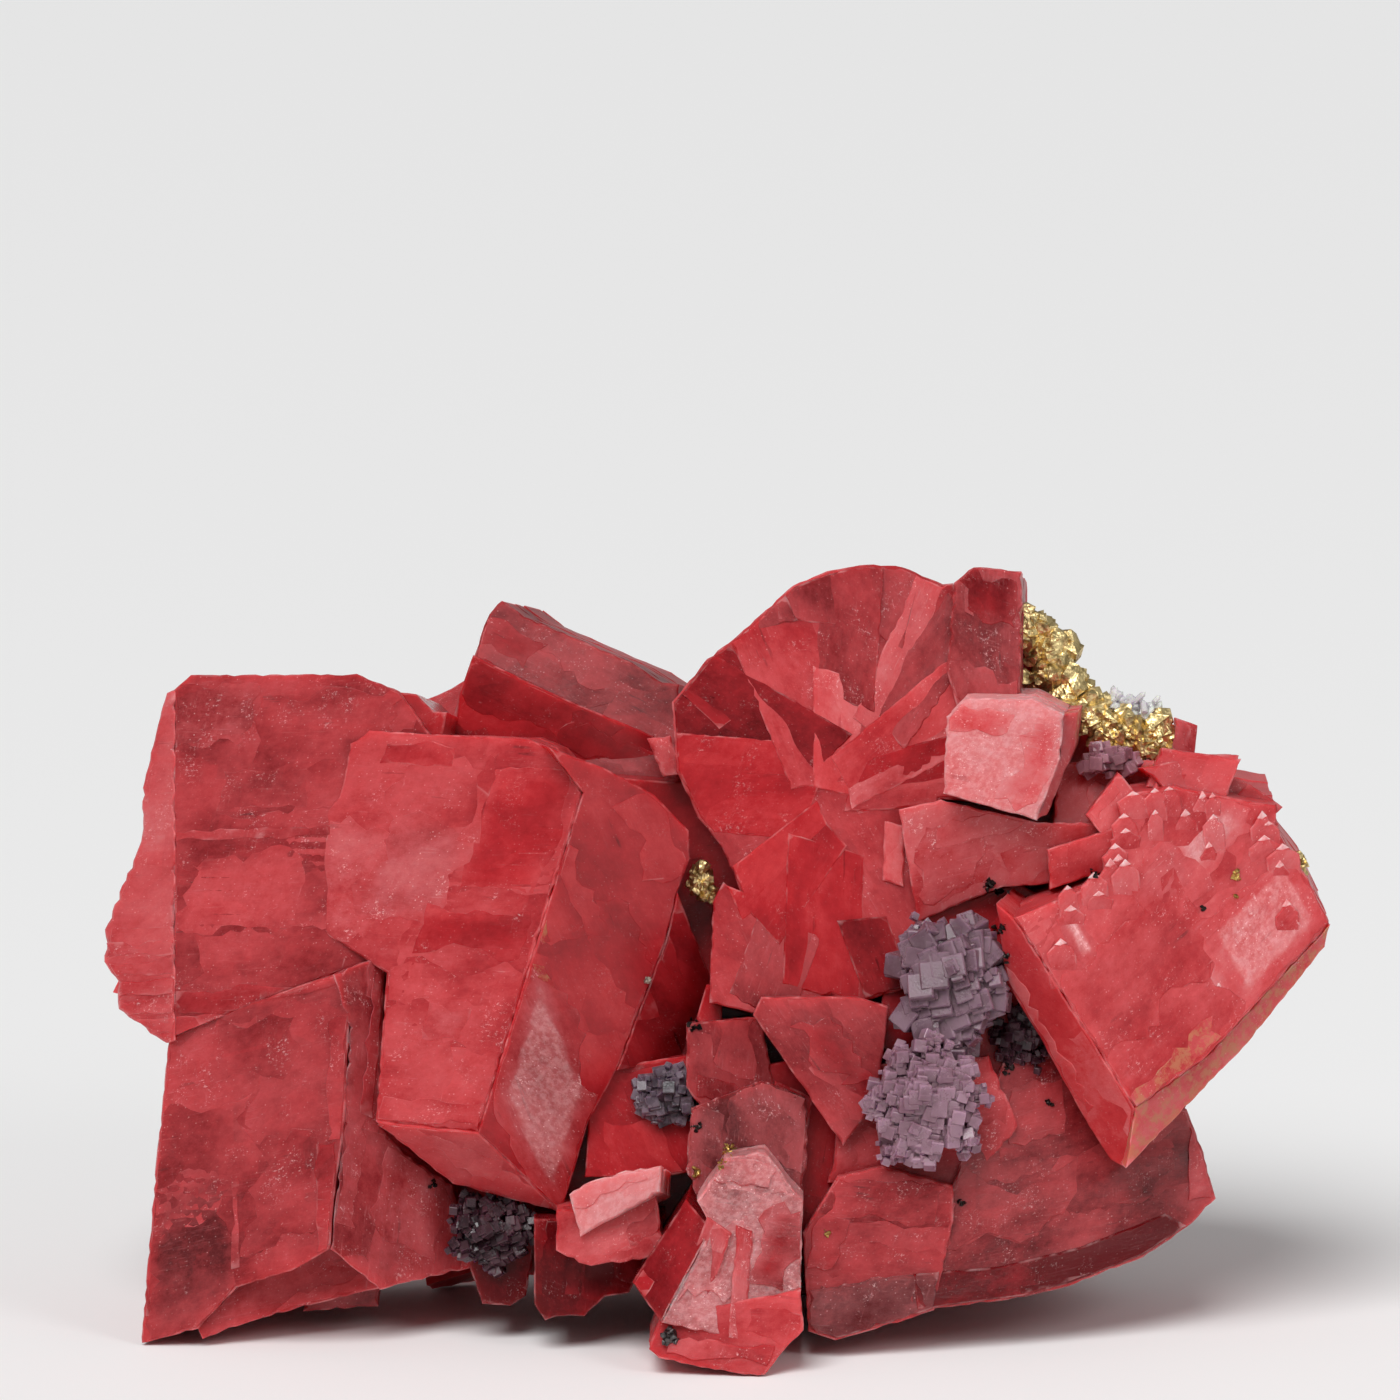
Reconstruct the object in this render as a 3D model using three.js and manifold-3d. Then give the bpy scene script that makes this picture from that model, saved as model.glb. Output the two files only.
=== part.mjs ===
// Rhodochrosite specimen: intergrown red rhombs and blades with fluorite, chalcopyrite and quartz.
// Millimetres, +Z up, front towards -Y. The crystals are laid out in a growth frame whose broad
// faces are upright, and the whole specimen then leans back and stands on its own feet.
import * as THREE from "three";
import { mergeVertices } from "three/addons/utils/BufferGeometryUtils.js";
import Module from "manifold-3d";

const LEAN_DEG = 9; // the broad front faces lean back by this much when the specimen stands
const FLOOR_DROP = 4.2; // from the growth frame's zero up to the floor, before the lean
const TOUCH_GAP = 0.3; // clearance between two minerals that touch
const RHOMB_SHEAR = 0.26; // a cleavage rhomb leans by this much of its height along each side
const GOLDEN_ANGLE = Math.PI * (3 - Math.sqrt(5));
const FOOTPRINT_CENTRE = [0.05, 5.67]; // middle of the standing specimen's box, in x and y
const FLOOR_SPAN = 400; // width of the block that cuts the feet level, more than the specimen's
const FLOOR_DEEP = 60; // height of that block
const DOME = { share: 0.88, sink: 0.6, fall: 0.55, lift: 0.6 }; // the ground that cubes grow on
const CUBE_SPIN = [31, 47, 23]; // each cube is turned this much more than the last, in degrees
const LUMP_SPIN = [40, 65, 15]; // and each brassy lump this much
const LUMP_EVEN = 0.82; // a lump's size, as a share of its crust's radius, and how far it varies
const LUMP_VARIES = 0.3;
const QUARTZ = {
  at: [39.6, -4, 66], run: [5, 0, -0.8], count: 9, width: 0.8, widthVaries: 0.25, height: 2.6,
  tip: 0.25, upright: 90, nod: 25, sway: 30, stagger: 0.8, sides: 6,
}; // the row of points: where it starts and runs to, and each point's size, taper and lean

const wasm = await Module();
wasm.setup();

// ---------------------------------------------------------------- solids and helpers

/** A closed three.js geometry, placed by a matrix, as a solid that can be joined and cut. */
function solidOf(geometry, matrix) {
  const plain = geometry.clone();
  plain.deleteAttribute("normal");
  plain.deleteAttribute("uv");
  plain.applyMatrix4(matrix);
  const merged = mergeVertices(plain, 1e-5);
  return new wasm.Manifold(
    new wasm.Mesh({
      numProp: 3,
      vertProperties: new Float32Array(merged.attributes.position.array),
      triVerts: new Uint32Array(merged.index.array),
    }),
  );
}

/** Join a list of solids in one. */
function joined(solids) {
  return solids.reduce((whole, piece) => whole.add(piece));
}

/** The largest connected body of a solid, with any hollow sealed inside it filled. */
function largestBody(solid) {
  const bodies = solid.decompose();
  return bodies.reduce((best, body) => (body.volume() > best.volume() ? body : best));
}

/**
 * A crystal slab: a front face of the given outline on a tilted plane, drawn back along a vector.
 * outline: [x, z] corners; pivot and y place the plane; tilt is its rise in y per mm of x and z.
 */
function slab({ outline, pivot, y, tilt = [0, 0], back = [0, 20, 0] }) {
  const shape = new THREE.Shape(outline.map(([x, z]) => new THREE.Vector2(x, z)));
  const geometry = new THREE.ExtrudeGeometry(shape, { depth: 1, bevelEnabled: false });
  geometry.translate(0, 0, -1);
  const [tiltX, tiltZ] = tilt;
  const start = y - tiltX * pivot[0] - tiltZ * pivot[1];
  const matrix = new THREE.Matrix4().set(
    1, 0, -back[0], 0,
    tiltX, tiltZ, -back[1], start,
    0, 1, -back[2], 0,
    0, 0, 0, 1,
  );
  return solidOf(geometry, matrix);
}

/** A whole cleavage rhomb: a sheared block with its centre, size and turn in degrees. */
function rhomb({ at, size, turn }) {
  const shear = new THREE.Matrix4().set(
    1, RHOMB_SHEAR, RHOMB_SHEAR, 0,
    0, 1, RHOMB_SHEAR, 0,
    0, 0, 1, 0,
    0, 0, 0, 1,
  );
  const place = turned(turn).setPosition(...at);
  return solidOf(new THREE.BoxGeometry(...size), place.multiply(shear));
}

/** A rotation matrix from turns about x, y and z in degrees. */
function turned([x, y, z]) {
  const radians = [x, y, z].map(THREE.MathUtils.degToRad);
  return new THREE.Matrix4().makeRotationFromEuler(new THREE.Euler(...radians));
}

/** How far item i of a row swings between -1 and 1; a different pace gives a different row. */
function swing(i, pace) {
  return Math.sin(i * pace);
}

/** Turns about x, y and z, in degrees, of item i of a row that spins on by the same step each time. */
function spun(spin, i) {
  return turned(spin.map((step) => step * i));
}

/** A cluster of small cubes on a low dome, the habit of the fluorite. */
function cubeCluster({ at, reach, count, cube, domeDepth, grow = 0 }) {
  const [smallest, largest] = cube;
  const dome = new THREE.Matrix4()
    .makeTranslation(at[0], at[1] + domeDepth * DOME.sink, at[2])
    .scale(new THREE.Vector3(reach[0] * DOME.share + grow, domeDepth + grow, reach[1] * DOME.share + grow));
  const solids = [solidOf(new THREE.IcosahedronGeometry(1, 0), dome)];
  for (let i = 0; i < count; i += 1) {
    const out = Math.sqrt((i + 0.5) / count);
    const angle = i * GOLDEN_ANGLE;
    const share = (1 + swing(i, 2.3)) / 2;
    const side = smallest + (largest - smallest) * share + 2 * grow;
    const fall = domeDepth * DOME.fall * out * out;
    const lift = DOME.lift * swing(i, 1.7) * (1 - out);
    const place = spun(CUBE_SPIN, i).setPosition(
      at[0] + reach[0] * out * Math.cos(angle),
      at[1] + fall - lift,
      at[2] + reach[1] * out * Math.sin(angle),
    );
    solids.push(solidOf(new THREE.BoxGeometry(side, side, side), place));
  }
  return joined(solids);
}

/** A knobbly crust of faceted lumps along a line, the habit of the chalcopyrite. */
function lumpCrust({ line, radius, count, spread = 0, grow = 0 }) {
  const path = new THREE.CatmullRomCurve3(line.map((spot) => new THREE.Vector3(...spot)));
  const solids = [];
  for (let i = 0; i < count; i += 1) {
    const spot = path.getPoint(i / (count - 1));
    const size = radius * (LUMP_EVEN + LUMP_VARIES * swing(i, 2.1)) + grow;
    const sway = i * GOLDEN_ANGLE;
    const place = spun(LUMP_SPIN, i)
      .setPosition(spot.x + spread * Math.cos(sway), spot.y, spot.z + spread * Math.sin(sway))
      .scale(new THREE.Vector3(size, size, size));
    solids.push(solidOf(new THREE.IcosahedronGeometry(1, 0), place));
  }
  return joined(solids);
}

// ---------------------------------------------------------------- the red crystals

/** The great rhomb on the left: a back plate, a raised front plate and its turned right-hand faces. */
function greatRhomb() {
  const ridgeTop = [-13.1, 57.1];
  const ridgeY = -24;
  return [
    slab({
      // back plate
      outline: [
        [-53.6, 67.2], [-51.9, 68.7], [-35.5, 68.8], [-31.2, 67.1], [-28, 62.5], [-12, 58], [-12, 40],
        [-33, 40.8], [-43.8, 36.8], [-53.6, 33],
      ],
      pivot: [-45, 55], y: -15.5, tilt: [-0.06, 0], back: [4, 29, -3],
    }),
    slab({
      // left-hand edge face, turned away to the left
      outline: [
        [-53.6, 67.2], [-54.3, 66.9], [-55.3, 63.8], [-56.8, 57.5], [-57, 52.2], [-58.7, 48.4],
        [-60.8, 43.4], [-60.8, 40.2], [-59.4, 38.1], [-59.4, 35.5], [-54.4, 32.1], [-53.4, 32.6],
        [-53.4, 67],
      ],
      pivot: [-53.6, 55], y: -15, tilt: [-1, 0], back: [4, 26, -2],
    }),
    slab({
      // small top corner face, turned away to the right
      outline: [[-31.3, 67], [-29.6, 66.8], [-27.9, 65.1], [-26.6, 65], [-27.2, 62], [-33, 62]],
      pivot: [-31.3, 67], y: -16.2, tilt: [0.35, -0.1], back: [2, 20, -1],
    }),
    slab({
      // raised front plate
      outline: [
        [-37.2, 56.6], [-36.7, 58.5], [-36.1, 61.9], [-34.2, 63.2], [-26.7, 62.8], [-18.7, 62.5],
        [-16.3, 61.5], [-13.1, 57.1], [-17.7, 42.2], [-23.4, 23.7], [-33.6, 24.7], [-32.5, 39.3],
        [-40, 44], [-40, 54],
      ],
      pivot: ridgeTop, y: ridgeY, tilt: [-0.32, 0], back: [2, 26, 0],
    }),
    slab({
      // right-hand face, from the ridge to the right-hand edge and down to the lowest corner
      outline: [
        [-16.4, 61.6], [-10.9, 59.5], [-6.1, 56.9], [-2.7, 53.3], [-2.6, 50.5], [-3.8, 47.2],
        [-5, 42.3], [-9.8, 29.6], [-12.6, 24.5], [-15.3, 15.5], [-23.4, 23.7], [-17.7, 42.2],
        [-13.1, 57.1],
      ],
      pivot: ridgeTop, y: ridgeY, tilt: [0.7, -0.303], back: [-3, 20, 1],
    }),
    slab({
      // deep side face beyond the right-hand edge
      outline: [[-3.8, 47.2], [-0.4, 38.3], [-2.9, 30.1], [-9.8, 29.6], [-5, 42.3]],
      pivot: [-5, 42.3], y: -13.9, tilt: [1.5, -0.576], back: [-4, 16, 0],
    }),
    slab({
      // under face of the overhanging corner
      outline: [[-33.6, 24.7], [-23.4, 23.7], [-15.3, 15.5], [-26.1, 18.2], [-31, 22.4]],
      pivot: [-23.4, 23.7], y: -21.1, tilt: [-0.416, -1.406], back: [2, 24, 6],
    }),
  ];
}

/** The rhomb at the lower left: its broad front, its rough right-hand side and the ledge below. */
function lowerLeftRhomb() {
  const back = [6, 26, 3.4];
  return [
    slab({
      outline: [
        [-54.1, 33.3], [-43.8, 37.1], [-37.7, 39.2], [-35.9, 36.5], [-36.2, 33.9], [-36.6, 24.8],
        [-37.7, 16.9], [-38.1, 12], [-42, 9.8], [-47.4, 8.1], [-51.2, 4], [-57, 2.4], [-55.6, 19.2],
      ],
      pivot: [-57, 2.4], y: -11.5, tilt: [-0.24, -0.05], back,
    }),
    slab({
      outline: [
        [-37.7, 39.2], [-33.6, 40.9], [-32.7, 39.5], [-33.3, 24.2], [-30.9, 21.3], [-26.2, 18],
        [-24.5, 11.9], [-23.6, 9.8], [-33.3, 7.8], [-38.1, 12], [-37.1, 21.3], [-36.2, 33.9],
      ],
      pivot: [-36.2, 33.9], y: -18.05, tilt: [0.75, -0.136], back,
    }),
    slab({
      outline: [
        [-50.9, 2.9], [-51.5, 4.4], [-44, 14], [-30, 14], [-24, 11], [-23.6, 9.8], [-33.3, 7.8],
        [-40.9, 6], [-46.2, 4.6],
      ],
      pivot: [-50.9, 2.9], y: -12.3, tilt: [0.22, 0], back,
    }),
  ];
}

/** The blade that stands behind the great rhomb: its rough upper face and smooth lower face. */
function backBlade() {
  return [
    slab({
      outline: [
        [-21.5, 76.3], [-23.1, 74.3], [-24, 71.2], [-25.5, 67.3], [-27.5, 60], [-4, 54], [-3.7, 67.8],
        [-5.4, 68], [-8.5, 70], [-13.4, 72.1], [-19.2, 74.6],
      ],
      pivot: [-20, 70], y: 0, tilt: [0.1, 0.25], back: [4, 16, -1],
    }),
    slab({
      outline: [
        [-24.2, 70.7], [-18.7, 68], [-13.4, 65.6], [-6.3, 62.7], [-3.7, 54.7], [-10, 50], [-27, 58],
        [-25.5, 67.3],
      ],
      pivot: [-20, 66], y: -4, tilt: [0.15, -0.2], back: [3, 14, -1],
    }),
  ];
}

/** The fan that spreads from a hub above the middle, the block at its top and the arm to its right. */
function fan() {
  return [
    slab({
      // the blades, grown together
      outline: [
        [-4.4, 66], [-0.9, 70.3], [2.2, 72.7], [7.6, 77.6], [11, 79], [14.9, 79.7], [18.5, 79.5],
        [22.5, 77.7], [23.5, 77.8], [30, 64], [26, 56], [22.2, 56.4], [19.9, 44.2], [18.8, 37.6],
        [13.8, 36.1], [11.4, 36.9], [3.6, 35.2], [-0.7, 36.2], [-0.4, 46.2], [0.7, 48.2], [2.4, 47.2],
        [0.5, 51.7], [-1.8, 54.5], [-4, 59.2],
      ],
      pivot: [14.9, 60], y: -10.6, tilt: [0.02, 0.06], back: [1, 15, -1],
    }),
    slab({
      // block at the top right
      outline: [[23.5, 77.8], [25.5, 79.5], [30.3, 79], [30.4, 75.7], [30, 64], [24.3, 64], [22.8, 69.1]],
      pivot: [26, 70], y: -11, tilt: [0.05, 0.08], back: [1, 15, -1],
    }),
    slab({
      // arm
      outline: [
        [18, 55.4], [22.2, 56.4], [31.8, 54.1], [39.4, 54.2], [39.4, 49.2], [37.4, 48.2], [28.4, 47.7],
        [19.9, 44.2],
      ],
      pivot: [28, 50], y: -13, tilt: [0.05, -0.3],
    }),
  ];
}

/** The small pale rhomb that sits on the fan's right-hand side. */
function paleRhomb() {
  const back = [1, 12, 1];
  return [
    slab({
      outline: [
        [22.6, 64.6], [24.3, 66.4], [31.1, 66.4], [34.3, 64.8], [33.9, 60.5], [31.6, 54.3], [22.3, 57],
      ],
      pivot: [28, 60], y: -18.5, tilt: [0.08, 0], back,
    }),
    slab({
      outline: [
        [34.2, 64.8], [35.7, 65], [35.5, 61.3], [34.5, 59.2], [32.7, 54.8], [31.5, 54.3], [33.8, 60.5],
      ],
      pivot: [34.2, 64.8], y: -18, tilt: [1.5, -0.6], back,
    }),
  ];
}

/** The rhomb on the right: its front face, its deep left-hand side and its lower right-hand edge. */
function rightRhomb() {
  const back = [4, 22, 3];
  return [
    slab({
      outline: [
        [29.2, 44.8], [36.2, 47.6], [38.4, 49], [39.4, 52.7], [41, 57], [45.2, 57.7], [53.2, 56.1],
        [55.4, 55.8], [55.4, 53.8], [56.7, 51], [58.6, 48.5], [60.9, 44], [48.5, 31.1], [41.2, 26],
      ],
      pivot: [29.2, 44.8], y: -21, tilt: [0.28, 0.1], back: [0, 22, 3],
    }),
    slab({
      outline: [
        [29.2, 44.8], [27.5, 46.2], [28.6, 38.4], [32, 32.7], [36.5, 24.6], [39, 20.7], [40.4, 20],
        [41.2, 26],
      ],
      pivot: [29.2, 44.8], y: -21, tilt: [-1.1, -0.78], back,
    }),
    slab({
      outline: [[41.2, 26], [40.4, 20], [52.2, 31.8], [60.3, 41.7], [60.9, 44], [48.5, 31.1]],
      pivot: [41.2, 26], y: -19.5, tilt: [0.9, -0.58], back: [-3, 20, 3],
    }),
    slab({
      // shoulder behind the top edge
      outline: [
        [34, 60], [43.4, 60.3], [51.6, 58.6], [54.7, 56.9], [56.4, 52.4], [58.6, 49], [38.4, 46],
        [33.4, 54],
      ],
      pivot: [45, 55], y: -9, tilt: [0.1, 0.3], back: [-1, 18, 0],
    }),
    slab({
      // wedge standing on the shoulder
      outline: [[48.3, 60.8], [51.9, 60.8], [50.5, 56.1], [45.2, 56.7], [42, 59.5]],
      pivot: [48, 59], y: -13, tilt: [0.3, 0.2], back: [-1, 14, 0],
    }),
    slab({
      // bed of the chalcopyrite crust
      outline: [
        [27, 76], [30.2, 73], [32.6, 68.5], [35.6, 64], [41, 61], [45, 59], [40, 52], [26, 56],
      ],
      pivot: [34, 66], y: -2, tilt: [0, 0], back: [-2, 14, -1],
    }),
  ];
}

/** The blocks below the middle and along the lower right, down to the foot. */
function lowerBlocks() {
  return [
    slab({
      // lower right-hand mass
      outline: [
        [46.8, 25.5], [48.5, 21.2], [49.7, 16.6], [46.9, 13.8], [42.4, 10.9], [35, 8.2], [30.4, 7.1],
        [19.7, 5.9], [18.9, 7.2], [22.9, 17.2], [24.4, 21.2], [28.4, 30.2], [34.4, 31.2], [38.4, 28.2],
      ],
      pivot: [30, 15], y: -13, tilt: [0.3, 0.12], back: [-2, 24, 3.4],
    }),
    slab({
      // block right of the foot
      outline: [
        [8.5, 13.7], [11.9, 19.2], [16.4, 20.2], [23.4, 18.2], [23.4, 14.7], [21.5, 6], [17.9, 4.8],
        [11.7, 3.1], [9, 4],
      ],
      pivot: [16, 12], y: -17, tilt: [0.1, 0.05], back: [1, 20, 2],
    }),
    slab({
      // pointed rhomb under the fan
      outline: [[3.6, 35.2], [12.5, 22.2], [14.8, 25.2], [16, 27], [17, 36], [13.8, 37], [4.4, 37]],
      pivot: [10, 30], y: -18, tilt: [0.2, -0.1], back: [0, 16, 0],
    }),
    slab({
      // seat of the lavender fluorite
      outline: [[13, 30], [27, 31], [30, 24], [24, 17], [11, 18.5]],
      pivot: [20, 24], y: -14, tilt: [0.1, 0], back: [0, 18, 0],
    }),
    slab({
      // neck, upper block
      outline: [[-3, 34.2], [4.5, 35], [6, 27], [4.5, 25], [-1, 25.1], [-3, 28]],
      pivot: [0, 30], y: -14, tilt: [0.2, 0],
    }),
    slab({
      // neck, lower blocks
      outline: [[-2.6, 26], [4.5, 28.8], [9, 27], [9.1, 22], [8.6, 17], [-1.9, 17], [-3, 20]],
      pivot: [3, 22], y: -17, tilt: [0.25, 0],
    }),
    slab({
      // foot crystal, front
      outline: [
        [-0.5, 14.4], [-1.9, 17.1], [0.8, 21.3], [4.8, 21.9], [8.6, 17.1], [8.3, 8.5], [4, 3.1],
        [-5.4, 5.3],
      ],
      pivot: [2, 12], y: -24, tilt: [0.25, 0.15], back: [0, 20, 2],
    }),
    slab({
      // foot crystal, dark left-hand face
      outline: [[-8.3, 9], [-3, 17.1], [-0.5, 14.4], [-5.4, 5.3]],
      pivot: [-0.5, 14.4], y: -24.3, tilt: [-0.9, 0.77], back: [1, 18, 2],
    }),
    slab({
      // foot slab that the specimen stands on
      outline: [
        [-6.7, 2.6], [-5.6, 1.8], [-0.8, 0.7], [4, 0], [4.8, 0.2], [7.5, 3.4], [8.6, 4.5], [8.3, 8.5],
        [-5.4, 6],
      ],
      pivot: [0, 0], y: -26, tilt: [0, 0.1], back: [0, 20, 1.5],
    }),
    slab({
      // small pale rhomb under the great rhomb
      outline: [
        [-14.5, 17.6], [-13.1, 18.7], [-8.9, 20], [-5.4, 20.5], [-5.5, 17.9], [-9.4, 15.7], [-13.4, 13.4],
      ],
      pivot: [-10, 17], y: -20.5, tilt: [-0.1, -0.2], back: [1, 10, -1],
    }),
    slab({
      // its brownish bed
      outline: [[-15.8, 16], [-8, 17], [-6, 18], [-5, 12], [-7.5, 11], [-13, 10.4], [-15.8, 12]],
      pivot: [-10, 14], y: -18.5, tilt: [0, 0.1], back: [0, 14, 1],
    }),
    slab({
      // striated deep blades below the bed
      outline: [
        [-18, 15], [-5, 15], [-8.6, 7.5], [-11, 7.2], [-13, 5.3], [-15.8, 5.3], [-16.9, 4.9], [-18, 6.6],
      ],
      pivot: [-12, 9], y: -14, tilt: [0.3, 0], back: [0, 16, 2],
    }),
    slab({
      // blade left of them
      outline: [[-24.4, 12], [-17.8, 14], [-18.8, 7.1], [-20.4, 6.1], [-23.2, 6.3], [-24.4, 9.8]],
      pivot: [-20, 9], y: -10, tilt: [0.1, 0], back: [0, 14, 2],
    }),
  ];
}

/** The unseen heart of the intergrowth and the rhombs that finish its back. */
function coreAndBack() {
  const core = slab({
    outline: [
      [-30, 60], [-4, 58], [2, 58], [30, 60], [48, 52], [52, 36], [44, 20], [24, 10], [8, 8], [-22, 9],
      [-40, 14], [-50, 30], [-48, 50],
    ],
    pivot: [0, 30], y: -5, tilt: [0, 0], back: [0, 23, 3],
  });
  const rhombs = [
    { at: [-41, 9, 47], size: [22, 18, 24], turn: [6, 10, -6] },
    { at: [-16, 12, 42], size: [22, 18, 26], turn: [-9, -12, 8] },
    { at: [9, 9, 57], size: [19, 20, 24], turn: [10, 8, 12] },
    { at: [36, 9, 42], size: [22, 18, 20], turn: [-6, 14, 8] },
    { at: [-38, 10, 20], size: [20, 20, 17], turn: [-4, 9, 6] },
    { at: [20, 13, 17.5], size: [24, 20, 20], turn: [-7, -8, -5] },
    { at: [-12, 15, 20], size: [16, 14, 16], turn: [14, 22, 9] },
    { at: [4, 18, 36], size: [12, 11, 14], turn: [-18, 26, 12] },
    { at: [-28, 19, 33], size: [12, 10, 13], turn: [20, -16, -8] },
    { at: [25, 18, 36], size: [10, 9, 12], turn: [-12, -24, 18] },
    { at: [-44, 17, 38], size: [10, 9, 10], turn: [16, 20, 14] },
    { at: [20, 14, 68], size: [9, 9, 12], turn: [12, -14, -20] },
  ];
  return [core, ...rhombs.map(rhomb)];
}

// ---------------------------------------------------------------- the other minerals

const CLUSTERS = {
  fluorite_lavender: { at: [21, -19.5, 26.6], reach: [5.2, 5.6], count: 22, cube: [1.8, 3], domeDepth: 3 },
  fluorite_grey: { at: [23.6, -16.5, 38], reach: [4.2, 5.4], count: 16, cube: [2.4, 4], domeDepth: 3 },
  fluorite_dark: { at: [30.4, -11.5, 32.4], reach: [2.8, 3.2], count: 12, cube: [1.2, 2], domeDepth: 2.4 },
  fluorite_middle: { at: [-4.6, -13, 27], reach: [2.8, 2.6], count: 14, cube: [1.2, 2.2], domeDepth: 3 },
  fluorite_low: { at: [-21.6, -12.4, 13.6], reach: [4.4, 2.8], count: 16, cube: [1.4, 2.4], domeDepth: 2.6 },
  fluorite_pink: { at: [39, -10.5, 60], reach: [2.4, 0.9], count: 7, cube: [1.2, 1.9], domeDepth: 1.5 },
};

const CRUSTS = {
  chalcopyrite_crust: {
    line: [[31.2, -3, 73.6], [33.4, -3, 70.4], [36, -3.5, 66.4], [39.4, -4, 63.6], [43.4, -4, 62.2]],
    radius: 2.5, count: 14, spread: 0.7,
  },
  chalcopyrite_cleft: {
    line: [[-1.5, -8, 48.8], [-0.9, -8, 46.9]],
    radius: 1.5, count: 4, spread: 0.2,
  },
  chalcopyrite_nub: {
    line: [[57.2, -9, 50], [58, -9.2, 49.6]],
    radius: 1.3, count: 3, spread: 0.2,
  },
  sulphide_grain: {
    line: [[-4.8, -25.9, 3.9], [-4.2, -25.8, 3.8]],
    radius: 0.9, count: 3, spread: 0.1,
  },
};

/** The sparkling druse on the crust: short six-sided points standing in a row. */
function quartzDruse(grow) {
  const points = [];
  for (let i = 0; i < QUARTZ.count; i += 1) {
    const along = i / (QUARTZ.count - 1);
    const width = QUARTZ.width + QUARTZ.widthVaries * swing(i, 2.4) + grow;
    const height = QUARTZ.height + 2 * grow;
    const lean = [QUARTZ.upright + QUARTZ.nod * swing(i, 1.9), 0, QUARTZ.sway * swing(i, 2.7)];
    const spot = QUARTZ.at.map((start, axis) => start + QUARTZ.run[axis] * along);
    const place = turned(lean).setPosition(spot[0], spot[1] + QUARTZ.stagger * swing(i, 2.2), spot[2]);
    points.push(solidOf(new THREE.CylinderGeometry(width * QUARTZ.tip, width, height, QUARTZ.sides), place));
  }
  return joined(points);
}

// ---------------------------------------------------------------- assembly

/** Everything below the floor, in the growth frame, to be cut off. */
function belowFloor() {
  const place = new THREE.Matrix4()
    .makeRotationX(THREE.MathUtils.degToRad(LEAN_DEG))
    .multiply(new THREE.Matrix4().makeTranslation(0, 0, FLOOR_DROP - FLOOR_DEEP / 2));
  return solidOf(new THREE.BoxGeometry(FLOOR_SPAN, FLOOR_SPAN, FLOOR_DEEP), place);
}

/** A solid as a named mesh with its finish, still in the growth frame. */
function meshOf(name, solid, finish) {
  const { vertProperties, triVerts } = solid.getMesh();
  const geometry = new THREE.BufferGeometry();
  geometry.setAttribute("position", new THREE.BufferAttribute(new Float32Array(vertProperties), 3));
  geometry.setIndex(new THREE.BufferAttribute(new Uint32Array(triVerts), 1));
  const mesh = new THREE.Mesh(geometry, new THREE.MeshStandardMaterial(finish));
  mesh.name = name;
  return mesh;
}

const FINISHES = {
  rhodochrosite_crystals: { color: 0xb8424a, roughness: 0.35, metalness: 0 },
  fluorite_lavender: { color: 0x9a86a6, roughness: 0.3, metalness: 0 },
  fluorite_grey: { color: 0x84727f, roughness: 0.35, metalness: 0 },
  fluorite_dark: { color: 0x40303c, roughness: 0.4, metalness: 0 },
  fluorite_middle: { color: 0x5f4f5c, roughness: 0.35, metalness: 0 },
  fluorite_low: { color: 0x553a48, roughness: 0.4, metalness: 0 },
  fluorite_pink: { color: 0xa87f88, roughness: 0.35, metalness: 0 },
  chalcopyrite_crust: { color: 0xab8b45, roughness: 0.35, metalness: 0.9 },
  chalcopyrite_cleft: { color: 0xab8b45, roughness: 0.35, metalness: 0.9 },
  chalcopyrite_nub: { color: 0xa1823f, roughness: 0.35, metalness: 0.9 },
  quartz_druse: { color: 0xc9c4c4, roughness: 0.2, metalness: 0 },
  sulphide_grain: { color: 0x3a3434, roughness: 0.35, metalness: 0.8 },
};

/** Every smaller mineral, each cut back from the ones before it so that a gap is left. */
function smallMinerals() {
  const recipes = [
    ...Object.entries(CLUSTERS).map(([name, sizes]) => [name, (grow) => cubeCluster({ ...sizes, grow })]),
    ...Object.entries(CRUSTS).map(([name, sizes]) => [name, (grow) => lumpCrust({ ...sizes, grow })]),
    ["quartz_druse", quartzDruse],
  ];
  const done = [];
  for (const [name, build] of recipes) {
    let solid = build(0);
    for (const earlier of done) {
      solid = solid.subtract(earlier.socket);
    }
    done.push({ name, solid: largestBody(solid), socket: build(TOUCH_GAP) });
  }
  return done;
}

const minerals = smallMinerals();
const crystals = joined([
  ...greatRhomb(), ...lowerLeftRhomb(), ...backBlade(), ...fan(), ...paleRhomb(), ...rightRhomb(),
  ...lowerBlocks(), ...coreAndBack(),
]);
const standing = crystals.subtract(belowFloor()).subtract(joined(minerals.map(({ socket }) => socket)));

const specimen = new THREE.Group();
specimen.add(meshOf("rhodochrosite_crystals", largestBody(standing), FINISHES.rhodochrosite_crystals));
for (const { name, solid } of minerals) {
  specimen.add(meshOf(name, solid, FINISHES[name]));
}
specimen.rotation.x = -THREE.MathUtils.degToRad(LEAN_DEG);
specimen.position.set(-FOOTPRINT_CENTRE[0], -FOOTPRINT_CENTRE[1], -FLOOR_DROP);

const object = new THREE.Group();
object.add(specimen);

export default object;
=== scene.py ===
"""Looks of the rhodochrosite specimen: red rhombs and blades with fluorite, chalcopyrite and quartz."""

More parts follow.
